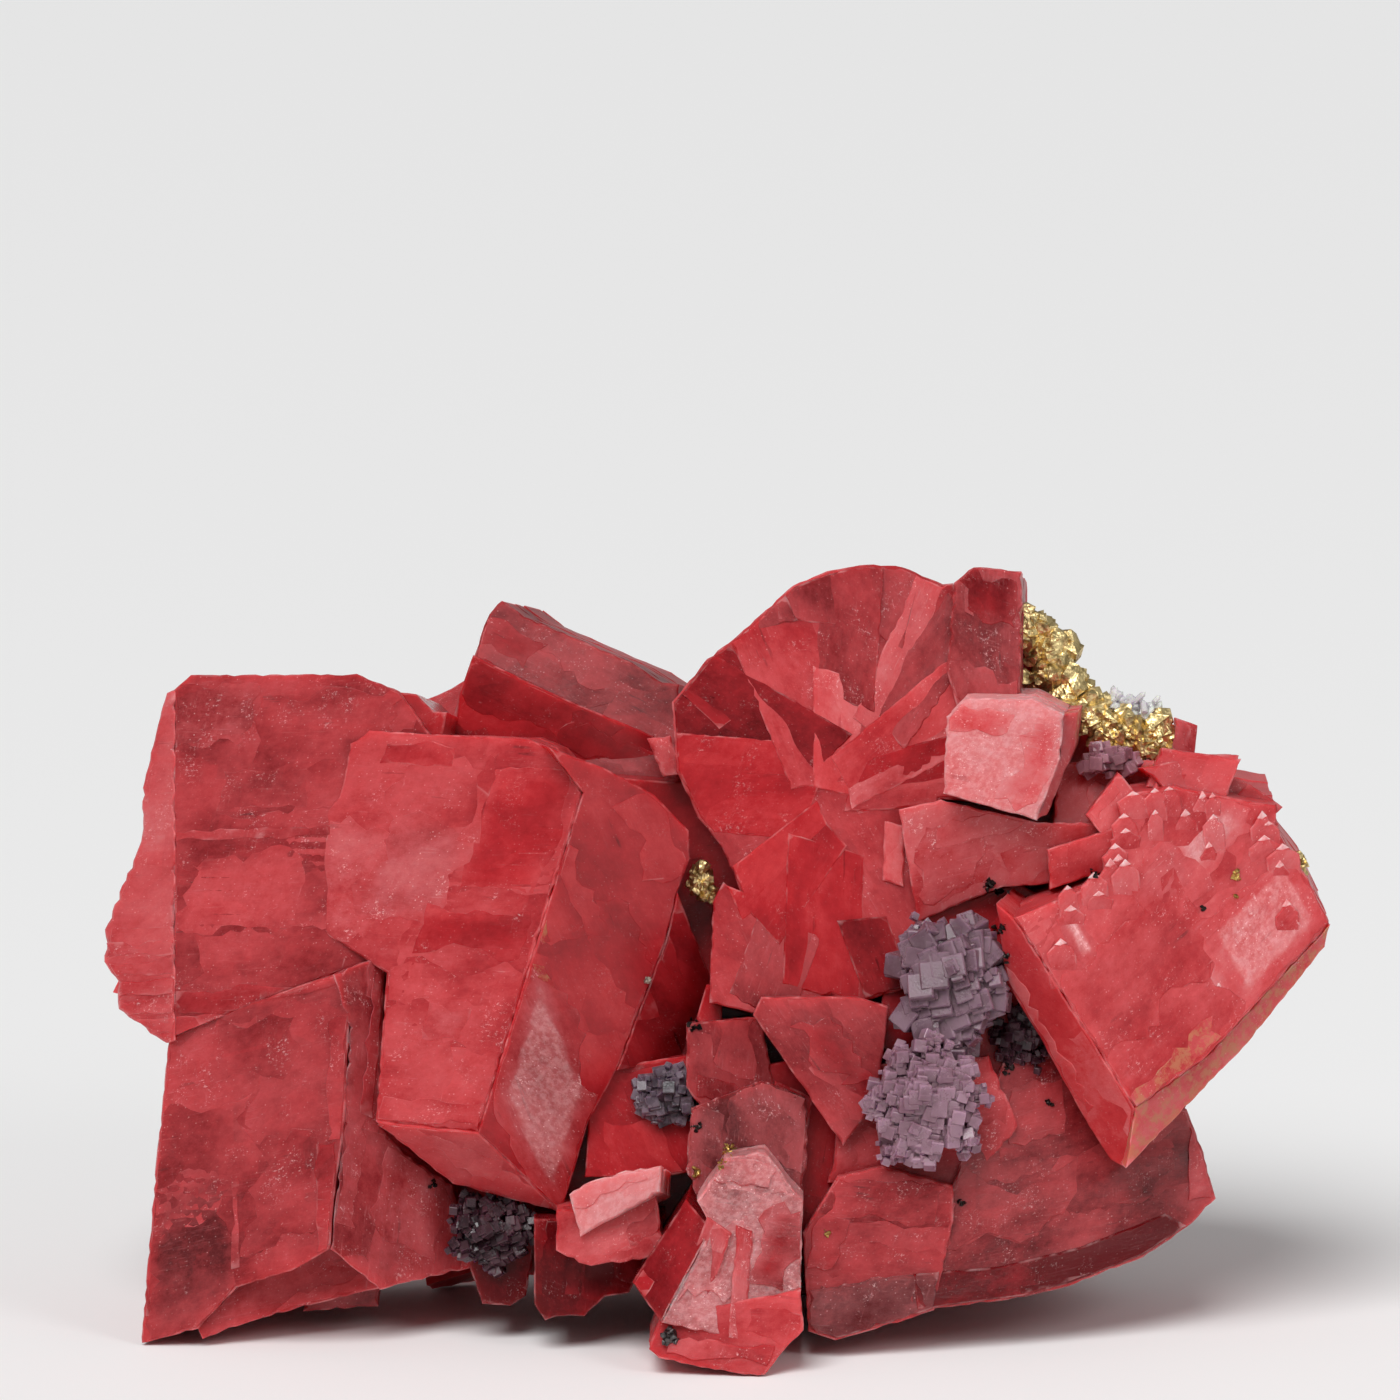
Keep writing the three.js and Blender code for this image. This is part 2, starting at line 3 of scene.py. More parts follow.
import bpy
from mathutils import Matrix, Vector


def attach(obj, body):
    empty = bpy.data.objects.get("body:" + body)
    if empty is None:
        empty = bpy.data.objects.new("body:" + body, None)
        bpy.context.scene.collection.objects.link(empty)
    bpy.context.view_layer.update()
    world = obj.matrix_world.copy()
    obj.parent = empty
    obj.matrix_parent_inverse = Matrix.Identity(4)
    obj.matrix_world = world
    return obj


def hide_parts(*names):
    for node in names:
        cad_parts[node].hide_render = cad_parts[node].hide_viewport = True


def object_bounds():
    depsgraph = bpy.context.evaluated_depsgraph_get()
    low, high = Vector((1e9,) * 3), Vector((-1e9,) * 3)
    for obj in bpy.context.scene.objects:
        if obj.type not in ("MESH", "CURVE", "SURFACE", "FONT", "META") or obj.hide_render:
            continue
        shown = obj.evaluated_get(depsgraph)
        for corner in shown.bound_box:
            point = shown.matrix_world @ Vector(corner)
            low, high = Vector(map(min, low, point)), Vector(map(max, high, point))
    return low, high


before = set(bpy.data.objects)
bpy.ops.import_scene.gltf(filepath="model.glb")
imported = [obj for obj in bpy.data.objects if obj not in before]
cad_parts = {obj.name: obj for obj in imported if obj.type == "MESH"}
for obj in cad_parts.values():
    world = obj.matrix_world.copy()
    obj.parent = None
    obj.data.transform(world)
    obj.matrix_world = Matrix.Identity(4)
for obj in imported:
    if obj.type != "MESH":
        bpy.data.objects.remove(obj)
CAD_BOUNDS = [[float(value) for value in corner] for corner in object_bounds()]

import logging
import math
from dataclasses import dataclass, field
from enum import Enum

import bmesh
import bpy
import numpy as np
from mathutils import Euler, Matrix, Vector, noise
from mathutils.bvhtree import BVHTree
from mathutils.geometry import delaunay_2d_cdt

LOG = logging.getLogger("rhodochrosite")
MM = 0.001
LEAN = math.radians(9)  # the broad front faces lean back by this much
GROWTH_ORIGIN = (-0.05, -5.67, -4.2)  # growth frame's zero, in mm from the footprint's centre
GRAIN_ANGLE = 76.0  # between the two directions of cleavage on a rhomb's face, in degrees
FAN_HUB = (12.0, 57.0)  # where the fan's upper blades meet, in the growth frame, in mm
LOW_HUB = (11.0, 54.0)  # where its lower blades meet
PANE_MARGIN = 0.25  # between a thin pane and the edge of the face that it lies on, in mm
PANE_FADE = 1.5  # a pane takes on its own colour over this distance from its edge, in mm
SIDE_FADE = 3.0  # the chips of a front edge fade out over this depth, in mm
PANE_LEAST = 0.7  # a pane that would be narrower than this, in mm, is left out
RHOMB_SHEAR = 0.26  # a cleavage rhomb leans by this much of its height
BACK_GRAINS = 60  # small rhombs tried on the back
CAP_SHARE = 0.42  # a tooth's white cap covers this share of its two upper edges
TOOTH_LEAN = 0.26  # a tooth's foot sinks into the face by this much of its height
GOLDEN = 0.618  # share of the golden ratio, which spreads numbers evenly
LUMP_CORNERS = 15  # corners of a metallic grain
BED_SHARE = 0.94  # size of the ground under a crust's grains, as a share of its CAD node's
BED_SUNK = 0.35  # how far that ground is set back, in mm

Point2 = tuple[float, float]
Point3 = tuple[float, float, float]


# ------------------------------------------------------------------ frames and small tools


def growth_matrix() -> Matrix:
    """Place the growth frame, in mm, in the world, in metres.

    Returns:
        The matrix from growth-frame millimetres to world metres.
    """
    low, high = (Vector(corner) for corner in CAD_BOUNDS)
    foot = Vector(((low.x + high.x) / 2, (low.y + high.y) / 2, low.z))
    place = Matrix.Translation(foot + Vector(GROWTH_ORIGIN) * MM)
    return place @ Matrix.Rotation(-LEAN, 4, "X") @ Matrix.Scale(MM, 4)


def inside(points: np.ndarray, outline: np.ndarray) -> np.ndarray:
    """Say which points lie inside a closed outline.

    Args:
        points: Points in the plane, one per row.
        outline: Corners of the outline, one per row.

    Returns:
        One truth value for each point.
    """
    hit = np.zeros(len(points), dtype=bool)
    x, z = points[:, 0], points[:, 1]
    for (ax, az), (bx, bz) in zip(outline, np.roll(outline, -1, axis=0)):
        crosses = (az > z) != (bz > z)
        rise = np.where(abs(bz - az) < 1e-9, 1e-9, bz - az)
        hit ^= crosses & (x < (bx - ax) * (z - az) / rise + ax)
    return hit


def edge_distance(points: np.ndarray, outline: np.ndarray) -> np.ndarray:
    """Measure how far points are from a closed outline.

    Args:
        points: Points in the plane, one per row.
        outline: Corners of the outline, one per row.

    Returns:
        The distance of each point to the nearest side.
    """
    nearest = np.full(len(points), np.inf)
    for start, end in zip(outline, np.roll(outline, -1, axis=0)):
        side = end - start
        along = np.clip((points - start) @ side / max(side @ side, 1e-12), 0, 1)
        gap = np.linalg.norm(points - start - along[:, None] * side, axis=1)
        nearest = np.minimum(nearest, gap)
    return nearest


def resampled(outline: np.ndarray, step: float) -> np.ndarray:
    """Add points along each side of an outline.

    Args:
        outline: Corners of the outline, one per row.
        step: The longest distance between neighbours.

    Returns:
        The denser outline.
    """
    dense = []
    for start, end in zip(outline, np.roll(outline, -1, axis=0)):
        pieces = max(1, round(float(np.linalg.norm(end - start)) / step))
        dense.extend(start + (end - start) * i / pieces for i in range(pieces))
    return np.array(dense)


def anticlockwise(outline: list[Point2]) -> np.ndarray:
    """Put an outline's corners in anticlockwise order, as seen from the front."""
    corners = np.array(outline, dtype=float)
    after = np.roll(corners, -1, axis=0)
    area = np.sum(corners[:, 0] * after[:, 1] - after[:, 0] * corners[:, 1])
    return corners if area > 0 else corners[::-1]


def inward(outline: np.ndarray) -> np.ndarray:
    """Give each corner of an anticlockwise outline its unit direction into the shape."""
    tangent = np.roll(outline, -1, axis=0) - np.roll(outline, 1, axis=0)
    normal = np.stack([-tangent[:, 1], tangent[:, 0]], axis=1)
    return normal / np.maximum(np.linalg.norm(normal, axis=1), 1e-9)[:, None]


def clipped(outline: np.ndarray, window: np.ndarray) -> np.ndarray:
    """Cut an outline down to what lies inside a window.

    Args:
        outline: Corners of the outline, one per row.
        window: Corners of a convex window, anticlockwise.

    Returns:
        Corners of what is left, which may be none.
    """
    kept = list(outline)
    for start, end in zip(window, np.roll(window, -1, axis=0)):
        side = end - start
        before, kept = kept, []
        reach = [float(side[0] * (spot[1] - start[1]) - side[1] * (spot[0] - start[0])) for spot in before]
        for i, here in enumerate(before):
            after = (i + 1) % len(before)
            if reach[i] >= 0:
                kept.append(here)
            if reach[i] * reach[after] < 0:
                kept.append(here + (before[after] - here) * reach[i] / (reach[i] - reach[after]))
    return np.array(kept).reshape(-1, 2)


def cleavage(centre: Point2, size: Point2, grain: float, corner: float = GRAIN_ANGLE) -> np.ndarray:
    """Outline of a cleavage face: a leaning four-sided shape.

    Args:
        centre: Its middle [x, z], in mm.
        size: Its length along the growth lines and its width across them, in mm.
        grain: Direction of the growth lines, in degrees.
        corner: Angle between its sides, in degrees.

    Returns:
        Its corners, anticlockwise.
    """
    first, second = math.radians(grain), math.radians(grain + corner)
    along = np.array([math.cos(first), math.sin(first)]) * size[0] / 2
    across = np.array([math.cos(second), math.sin(second)]) * size[1] / 2
    return np.array(centre) + np.array([-along - across, along - across, along + across, across - along])


# ------------------------------------------------------------------ what a crystal face is like


@dataclass(frozen=True)
class Habit:
    """How a face has grown or broken: its finish values and how uneven it is.

    Attributes:
        frost: How pale and etched the surface is, from 0 to 1.
        gloss: How glassy it is, from 0 to 1.
        stain: How much iron-brown film it has, from 0 to 1.
        chips: How far its edges are chipped, in mm.
        relief: Height of its low growth relief, in mm.
    """

    frost: float
    gloss: float
    stain: float
    chips: float
    relief: float


class Look(Enum):
    """The finishes that the red crystals' faces have."""

    GEM = Habit(frost=0.04, gloss=0.9, stain=0.0, chips=0.12, relief=0.03)
    SATIN = Habit(frost=0.35, gloss=0.6, stain=0.0, chips=0.22, relief=0.06)
    FROSTED = Habit(frost=0.85, gloss=0.35, stain=0.0, chips=0.25, relief=0.1)
    ROUGH = Habit(frost=0.55, gloss=0.45, stain=0.0, chips=0.4, relief=0.16)
    STAINED = Habit(frost=0.5, gloss=0.3, stain=0.7, chips=0.35, relief=0.12)
    DUSTY = Habit(frost=1.18, gloss=0.3, stain=0.0, chips=0.3, relief=0.12)
    CHALKY = Habit(frost=1.6, gloss=0.25, stain=0.0, chips=0.15, relief=0.05)
    CAPPED = Habit(frost=1.34, gloss=0.4, stain=0.0, chips=0.1, relief=0.05)


# ------------------------------------------------------------------ closed shapes in the growth frame


@dataclass
class Shell:
    """A closed shape in the growth frame, with the crystal that it belongs to.

    Attributes:
        points: Corners in mm, one per row.
        faces: Corner numbers of each face, seen from outside anticlockwise.
        crystal: Number of its crystal in the mass.
    """

    points: np.ndarray
    faces: list[tuple[int, ...]]
    crystal: int = 0

    def closed(self) -> bool:
        """Say whether every edge is shared by two faces that run opposite ways along it."""
        edges = {pair for face in self.faces for pair in zip(face, face[1:] + face[:1])}
        used = sum(len(face) for face in self.faces)
        return len(edges) == used and all((b, a) in edges for a, b in edges)

    def mesh(self, name: str) -> bpy.types.Mesh:
        """Make a mesh datablock that carries the crystal number on its faces."""
        made = bpy.data.meshes.new(name)
        made.from_pydata(self.points.tolist(), [], self.faces)
        marks = made.attributes.new("crystal", "INT", "FACE")
        marks.data.foreach_set("value", [self.crystal] * len(made.polygons))
        return made


@dataclass(frozen=True)
class Slab:
    """A crystal with one broad face towards the front and sides drawn back from it.

    Attributes:
        name: What the crystal is.
        outline: Corners [x, z] of the broad face, in mm.
        pivot: Point [x, z] where the face stands at y.
        y: Depth of the face at the pivot, in mm.
        tilt: Rise of the face in y for each mm of x and of z.
        back: Vector that the sides follow, in mm.
        look: Finish of its faces.
        tone: From 0, deep red, to 1, pale salmon.
        grain: Direction of its growth lines on the face, in degrees.
        steps: How many thin growth plates lie on its face.
        cell: Spacing of the points on its face, in mm.
        ground: The crystal whose face it lies on, if it is a thin layer.
    """

    name: str
    outline: list[Point2]
    pivot: Point2
    y: float
    tilt: Point2 = (0.0, 0.0)
    back: Point3 = (0.0, 20.0, 0.0)
    look: Look = Look.SATIN
    tone: float = 0.5
    grain: float = 0.0
    steps: int = 0
    cell: float = 0.7
    ground: "Slab | None" = None

    @property
    def habit(self) -> Habit:
        """The finish values of its faces."""
        return self.look.value

    @property
    def lift(self) -> float:
        """How far a thin layer stands above its ground, in mm."""
        return self.ground.y - self.y if self.ground else 0.0

    def depth_at(self, flat: np.ndarray) -> np.ndarray:
        """Depth of the face's plane at points [x, z]."""
        return self.y + (flat - np.array(self.pivot)) @ np.array(self.tilt)

    def grain_axes(self) -> np.ndarray:
        """Matrix from [x, z] in mm to distances along its two growth directions."""
        first = math.radians(self.grain)
        second = math.radians(self.grain + GRAIN_ANGLE)
        axes = np.array([[math.cos(first), math.cos(second)], [math.sin(first), math.sin(second)]])
        return np.linalg.inv(axes)

    def grain_of(self, points: np.ndarray) -> np.ndarray:
        """Growth coordinates of points in the growth frame.

        Args:
            points: Points in mm, one per row.

        Returns:
            Distances along the growth lines, across them and into the crystal.
        """
        deep = (points[:, 1] - self.depth_at(points[:, [0, 2]])) / max(self.back[1], 1e-6)
        flat = points[:, [0, 2]] - deep[:, None] * np.array([self.back[0], self.back[2]])
        along = (flat - np.array(self.pivot)) @ self.grain_axes().T
        return np.column_stack([along, deep * self.back[1]])

    def rim_of(self, points: np.ndarray) -> np.ndarray:
        """Distance of points from the nearest edge of the broad face, in mm."""
        deep = (points[:, 1] - self.depth_at(points[:, [0, 2]])) / max(self.back[1], 1e-6)
        flat = points[:, [0, 2]] - deep[:, None] * np.array([self.back[0], self.back[2]])
        side = edge_distance(flat, np.array(self.outline))
        return np.hypot(side, np.maximum(deep, 0) * self.back[1])

    def relief(self, flat: np.ndarray) -> np.ndarray:
        """Low growth relief of the face, drawn out along its growth lines."""
        under = self.ground or self
        place = under.y + 3.7 * under.pivot[0]
        rows = [
            noise.noise(Vector((u * 0.12, v * 0.5, place)))
            + 0.4 * noise.noise(Vector((u * 0.5, v * 0.2, place + 9)))
            for u, v in flat @ under.grain_axes().T
        ]
        return np.array(rows) * under.habit.relief

    def shell(self, rng: np.random.Generator, crystal: int) -> Shell:
        """Build the crystal as a closed shape with chipped edges and layered sides.

        Args:
            rng: Source of its random chips.
            crystal: Number that its faces carry.

        Returns:
            The closed shape.
        """
        plain = resampled(anticlockwise(self.outline), max(self.cell, 0.6))
        into = inward(plain)
        if self.ground is not None:
            plain = self.torn(plain, into)
        chips = self.habit.chips * rng.random(len(plain)) ** 2.5
        for scale in (1.0, 0.5, 0.25, 0.1):
            edge = plain + into * (0.7 * scale * chips)[:, None]
            bevel = scale * ((0.04 if self.ground else 0.12) + 0.5 * chips)
            front = edge + into * bevel[:, None]
            if is_simple(front) and is_simple(edge):
                break
        rings = [edge]
        depths = [bevel]
        deep = 0.6
        while deep < self.back[1] - 1:
            ledge = 0.22 * self.habit.chips * rng.standard_normal()
            ring = self.side(plain, edge, into, deep) + into * max(0.0, ledge + 0.02)
            rings.extend([ring, ring])
            run = rng.uniform(0.8, 3.5) if deep < 8 else 6.0
            depths.extend([np.full(len(edge), deep), np.full(len(edge), min(deep + run, self.back[1] - 0.5))])
            deep += run + 0.12
        rings.append(self.side(plain, edge, into, self.back[1]))
        depths.append(np.full(len(edge), self.back[1]))
        return self.assembled(front, rings, depths, crystal)

    def side(self, plain: np.ndarray, edge: np.ndarray, into: np.ndarray, deep: float) -> np.ndarray:
        """Outline of the sides at a depth, where the front edge's chips have given way to others.

        Args:
            plain: Outline before any chips.
            edge: Outline of the front edge, with its chips.
            into: For each corner, the direction that leads inward.
            deep: Depth behind the front edge, in mm.

        Returns:
            The outline, or the front edge's where its sides would cross.
        """
        if self.ground is not None:
            return edge
        fade = min(1.0, deep / SIDE_FADE)
        worn = np.array([
            noise.noise(Vector((0.35 * x, 0.35 * z, 0.6 * deep + self.pivot[0])))
            + 0.5 * noise.noise(Vector((1.1 * x, 1.1 * z, 1.3 * deep + self.pivot[1])))
            for x, z in plain
        ])
        own = plain + into * (self.habit.chips * np.maximum(0.0, 0.3 + 0.7 * worn))[:, None]
        ring = edge * (1 - fade) + own * fade
        return ring if is_simple(ring) else edge

    def torn(self, edge: np.ndarray, into: np.ndarray) -> np.ndarray:
        """Make a layer's edge wander in small steps, as torn cleavage does."""
        under = np.array(self.ground.outline)
        size = min(2.2, 0.3 * float(np.min(np.ptp(edge, axis=0))))
        steps = np.array([
            round(4 * noise.noise(Vector((x * 0.22, z * 0.22, self.pivot[0])))) / 4
            + round(2.5 * noise.noise(Vector((x * 0.9, z * 0.9, self.lift)))) / 8
            for x, z in edge
        ])
        loose = edge_distance(edge, under) > PANE_MARGIN + 0.1
        for scale in (1.0, 0.5, 0.25):
            moved = edge + into * (scale * size * steps * loose)[:, None]
            stays = inside(moved, under) & (edge_distance(moved, under) > 0.6 * PANE_MARGIN)
            moved = np.where(stays[:, None], moved, edge)
            if is_simple(moved):
                return moved
        return edge

    def assembled(
        self, front: np.ndarray, rings: list[np.ndarray], depths: list[np.ndarray], crystal: int
    ) -> Shell:
        """Join the face, the rings of the sides and the far end in one closed shape.

        Args:
            front: Outline of the broad face.
            rings: Outlines of the sides, from front to back.
            depths: Depth of each ring's points, in mm.
            crystal: Number that the faces carry.

        Returns:
            The closed shape.
        """
        count = len(front)
        flat, triangles = filled(front, self.cell)
        lift = self.relief(flat)
        if self.ground is None:
            lift[:count] *= 0.3
        slant = np.array(self.back) / self.back[1]
        points = [np.column_stack([flat[:, 0], self.depth_at(flat) + lift, flat[:, 1]])]
        faces = [tuple(triangle) for triangle in triangles]
        before = list(range(count))
        total = len(flat)
        for ring, depth in zip(rings, depths):
            placed = np.column_stack([ring[:, 0], self.depth_at(ring), ring[:, 1]])
            points.append(placed + np.asarray(depth)[:, None] * slant)
            here = list(range(total, total + count))
            faces.extend(
                (before[i], here[i], here[(i + 1) % count], before[(i + 1) % count])
                for i in range(count)
            )
            before = here
            total += count
        _, far = filled(rings[-1], None)
        faces.extend(tuple(before[i] for i in reversed(triangle)) for triangle in far)
        return Shell(np.concatenate(points), faces, crystal)

    def growth_plates(self, rng: np.random.Generator) -> list["Slab"]:
        """Thin plates that step the broad face, set along its growth lines.

        Args:
            rng: Source of their sizes and places.

        Returns:
            The plates, each a low crystal of its own.
        """
        low, high = np.min(self.outline, axis=0), np.max(self.outline, axis=0)
        reach = float(np.min(high - low))
        plates: list[Slab] = []
        for _ in range(self.steps):
            share = (float(rng.random()), float(rng.random()))
            size = (reach * rng.uniform(0.4, 1.1), reach * rng.uniform(0.15, 0.6))
            tone = self.tone + 0.05 * float(rng.standard_normal())
            plates.extend(self.pane(share, size, tone, self.look, 0.02 + 0.05 * float(rng.random()) ** 2))
        return plates

    def pane(self, share: Point2, size: Point2, tone: float, look: Look, lift: float) -> list["Slab"]:
        """A thin pane of the broad face, cut out along its two growth directions.

        Args:
            share: Where its middle is, as shares of the face's width and height.
            size: Its length along the growth lines and its width across them, in mm.
            tone: From 0, deep red, to 1, pale salmon.
            look: Finish of the pane.
            lift: How far it stands above the face, in mm.

        Returns:
            The pane, or nothing where the face leaves no room for it.
        """
        face = anticlockwise(self.outline)
        low, high = face.min(axis=0), face.max(axis=0)
        centre = low + (high - low) * np.array(share)
        left = clipped(face + inward(face) * PANE_MARGIN, cleavage(tuple(centre), size, self.grain))
        if len(left) < 3 or float(np.min(np.ptp(left, axis=0))) < PANE_LEAST:
            return []
        spread = np.linalg.norm(left - np.roll(left, 1, axis=0), axis=1)
        left = left[spread > 0.05]
        if len(left) < 3 or not is_simple(anticlockwise(left)):
            return []
        return [self.layer([tuple(corner) for corner in left], tone, look, lift)]

    def layer(self, outline: list[Point2], tone: float, look: Look, lift: float) -> "Slab":
        """A thin growth layer on the broad face.

        Args:
            outline: Corners [x, z] of the layer, in mm.
            tone: From 0, deep red, to 1, pale salmon.
            look: Finish of the layer.
            lift: How far it stands above the face, in mm.

        Returns:
            The layer, a low crystal of its own.
        """
        return Slab(
            f"{self.name} layer", outline, self.pivot, self.y - lift, self.tilt, (0.0, lift + 0.6, 0.0), look,
            min(1.0, max(0.0, 0.5 * self.tone + 0.5 * tone)), self.grain, 0, 0.9, self,
        )


def is_simple(outline: np.ndarray) -> bool:
    """Say whether an outline can be filled without crossing itself."""
    return len(filled(outline, None)[1]) == len(outline) - 2


def filled(outline: np.ndarray, cell: float | None) -> tuple[np.ndarray, list[tuple[int, int, int]]]:
    """Fill an outline with triangles.

    Args:
        outline: Corners of the outline, one per row.
        cell: Spacing of the points added inside, or None for none.

    Returns:
        The points, the outline's own first, and the triangles, anticlockwise as seen from -y.
    """
    points = outline
    if cell is not None:
        low, high = outline.min(axis=0), outline.max(axis=0)
        columns = np.arange(low[0] + cell / 2, high[0], cell)
        rows = np.arange(low[1] + cell / 2, high[1], cell * 0.87)
        grid = np.array([
            (x + (j % 2) * cell / 2, z)
            for j, z in enumerate(rows) for x in columns
        ]).reshape(-1, 2)
        if len(grid):
            keep = inside(grid, outline)
            grid = grid[keep]
            grid = grid[edge_distance(grid, outline) > 0.45 * cell]
            points = np.concatenate([outline, grid])
    count = len(outline)
    sides = [(i, (i + 1) % count) for i in range(count)]
    found = delaunay_2d_cdt([Vector(point) for point in points], sides, [], 1, 1e-7)
    origin = [sources[0] if sources else -1 for sources in found[3]]
    triangles = [tuple(origin[corner] for corner in face) for face in found[2]]
    good = [face for face in triangles if min(face) >= 0 and len(set(face)) == 3]
    return points, good


def rhomb(at: Point3, size: Point3, turn: Point3, crystal: int, rng: np.random.Generator) -> Shell:
    """A whole cleavage rhomb with slightly chipped corners.

    Args:
        at: Centre in the growth frame, in mm.
        size: Lengths of its three edges, in mm.
        turn: Turns about x, y and z, in degrees.
        crystal: Number that its faces carry.
        rng: Source of its unevenness.

    Returns:
        The closed shape.
    """
    cuts = [max(2, round(length / 1.6)) for length in size]
    ticks = [np.linspace(-0.5, 0.5, cut + 1) for cut in cuts]
    index: dict[tuple[int, int, int], int] = {}
    points: list[Vector] = []
    shear = Matrix(((1, RHOMB_SHEAR, RHOMB_SHEAR), (0, 1, RHOMB_SHEAR), (0, 0, 1)))
    place = Matrix.Translation(at) @ Euler([math.radians(t) for t in turn]).to_matrix().to_4x4()
    seed = float(rng.random() * 40)

    def corner(i: int, j: int, k: int) -> int:
        """Number of the point at a place of the block's grid."""
        key = (i, j, k)
        if key not in index:
            raw = Vector((ticks[0][i] * size[0], ticks[1][j] * size[1], ticks[2][k] * size[2]))
            raw *= 1 - 0.012 * rng.random()
            step = 0.25 * noise.noise(Vector((raw.x * 0.3, raw.y * 0.3, raw.z * 0.3 + seed)))
            index[key] = len(points)
            points.append(place @ (shear @ (raw + raw.normalized() * step)))
        return index[key]

    faces: list[tuple[int, ...]] = []
    for axis in range(3):
        first, second = (axis + 1) % 3, (axis + 2) % 3
        for far in (False, True):
            for a in range(cuts[first]):
                for b in range(cuts[second]):
                    quad = []
                    for da, db in ((0, 0), (1, 0), (1, 1), (0, 1)):
                        spot = [0, 0, 0]
                        spot[axis] = cuts[axis] if far else 0
                        spot[first], spot[second] = a + da, b + db
                        quad.append(corner(*spot))
                    faces.append(tuple(quad if far else reversed(quad)))
    return Shell(np.array([tuple(point) for point in points]), faces, crystal)


def united(name: str, shells: list[Shell]) -> bpy.types.Mesh:
    """Join closed shapes in one solid mesh.

    Args:
        name: Name of the mesh.
        shells: The shapes. An open one would spoil the whole join, so it is left out with a warning.

    Returns:
        The joined mesh, in the growth frame.
    """
    whole = []
    for shell in shells:
        if shell.closed():
            whole.append(shell)
        else:
            LOG.warning("shape %d of %s is left out, because its sides would cross", shell.crystal, name)
    group = bpy.data.collections.new(f"{name}_shapes")
    bpy.context.scene.collection.children.link(group)
    base = bpy.data.objects.new(name, whole[0].mesh(name))
    bpy.context.scene.collection.objects.link(base)
    others = [bpy.data.objects.new(f"{name}_{i}", shell.mesh(name)) for i, shell in enumerate(whole[1:])]
    for other in others:
        group.objects.link(other)
    if others:
        join = base.modifiers.new("join", "BOOLEAN")
        join.operation = "UNION"
        join.solver = "MANIFOLD"
        join.operand_type = "COLLECTION"
        join.collection = group
    graph = bpy.context.evaluated_depsgraph_get()
    made = bpy.data.meshes.new_from_object(base.evaluated_get(graph))
    for spare in [*others, base]:
        data = spare.data
        bpy.data.objects.remove(spare)
        bpy.data.meshes.remove(data)
    bpy.data.collections.remove(group)
    made.name = name
    return made


def positions(mesh: bpy.types.Mesh) -> np.ndarray:
    """The mesh's points, one per row."""
    flat = np.empty(len(mesh.vertices) * 3)
    mesh.vertices.foreach_get("co", flat)
    return flat.reshape(-1, 3)


def add_value(mesh: bpy.types.Mesh, name: str, domain: str, values: np.ndarray) -> None:
    """Store numbers on a mesh for its material.

    Args:
        mesh: The mesh.
        name: Name that the material reads.
        domain: FACE, CORNER or POINT.
        values: One number, or one row of three, for each element.
    """
    vector = values.ndim == 2
    made = mesh.attributes.new(name, "FLOAT_VECTOR" if vector else "FLOAT", domain)
    made.data.foreach_set("vector" if vector else "value", values.astype(np.float32).ravel())


def crystal_owner(mesh: bpy.types.Mesh) -> np.ndarray:
    """Number of the crystal that each face of a joined mesh belongs to."""
    owner = np.empty(len(mesh.polygons), dtype=np.int32)
    mesh.attributes["crystal"].data.foreach_get("value", owner)
    return owner


def shade_crystals(mesh: bpy.types.Mesh) -> None:
    """Give each crystal of a joined mesh a shade of its own, from 0 to 1."""
    add_value(mesh, "shade", "FACE", np.modf(crystal_owner(mesh) * GOLDEN)[0])


def shown(
    name: str, mesh: bpy.types.Mesh, material: bpy.types.Material, nodes: list[str]
) -> bpy.types.Object:
    """Put a finished mesh in the scene in place of CAD nodes.

    Args:
        name: Name of the piece.
        mesh: Its mesh, in world metres.
        material: Its material.
        nodes: The CAD nodes that it stands for.

    Returns:
        The piece.
    """
    piece = bpy.data.objects.new(name, mesh)
    bpy.context.scene.collection.objects.link(piece)
    mesh.materials.clear()
    mesh.materials.append(material)
    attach(piece, "root")
    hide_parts(*nodes)
    return piece


# ------------------------------------------------------------------ materials


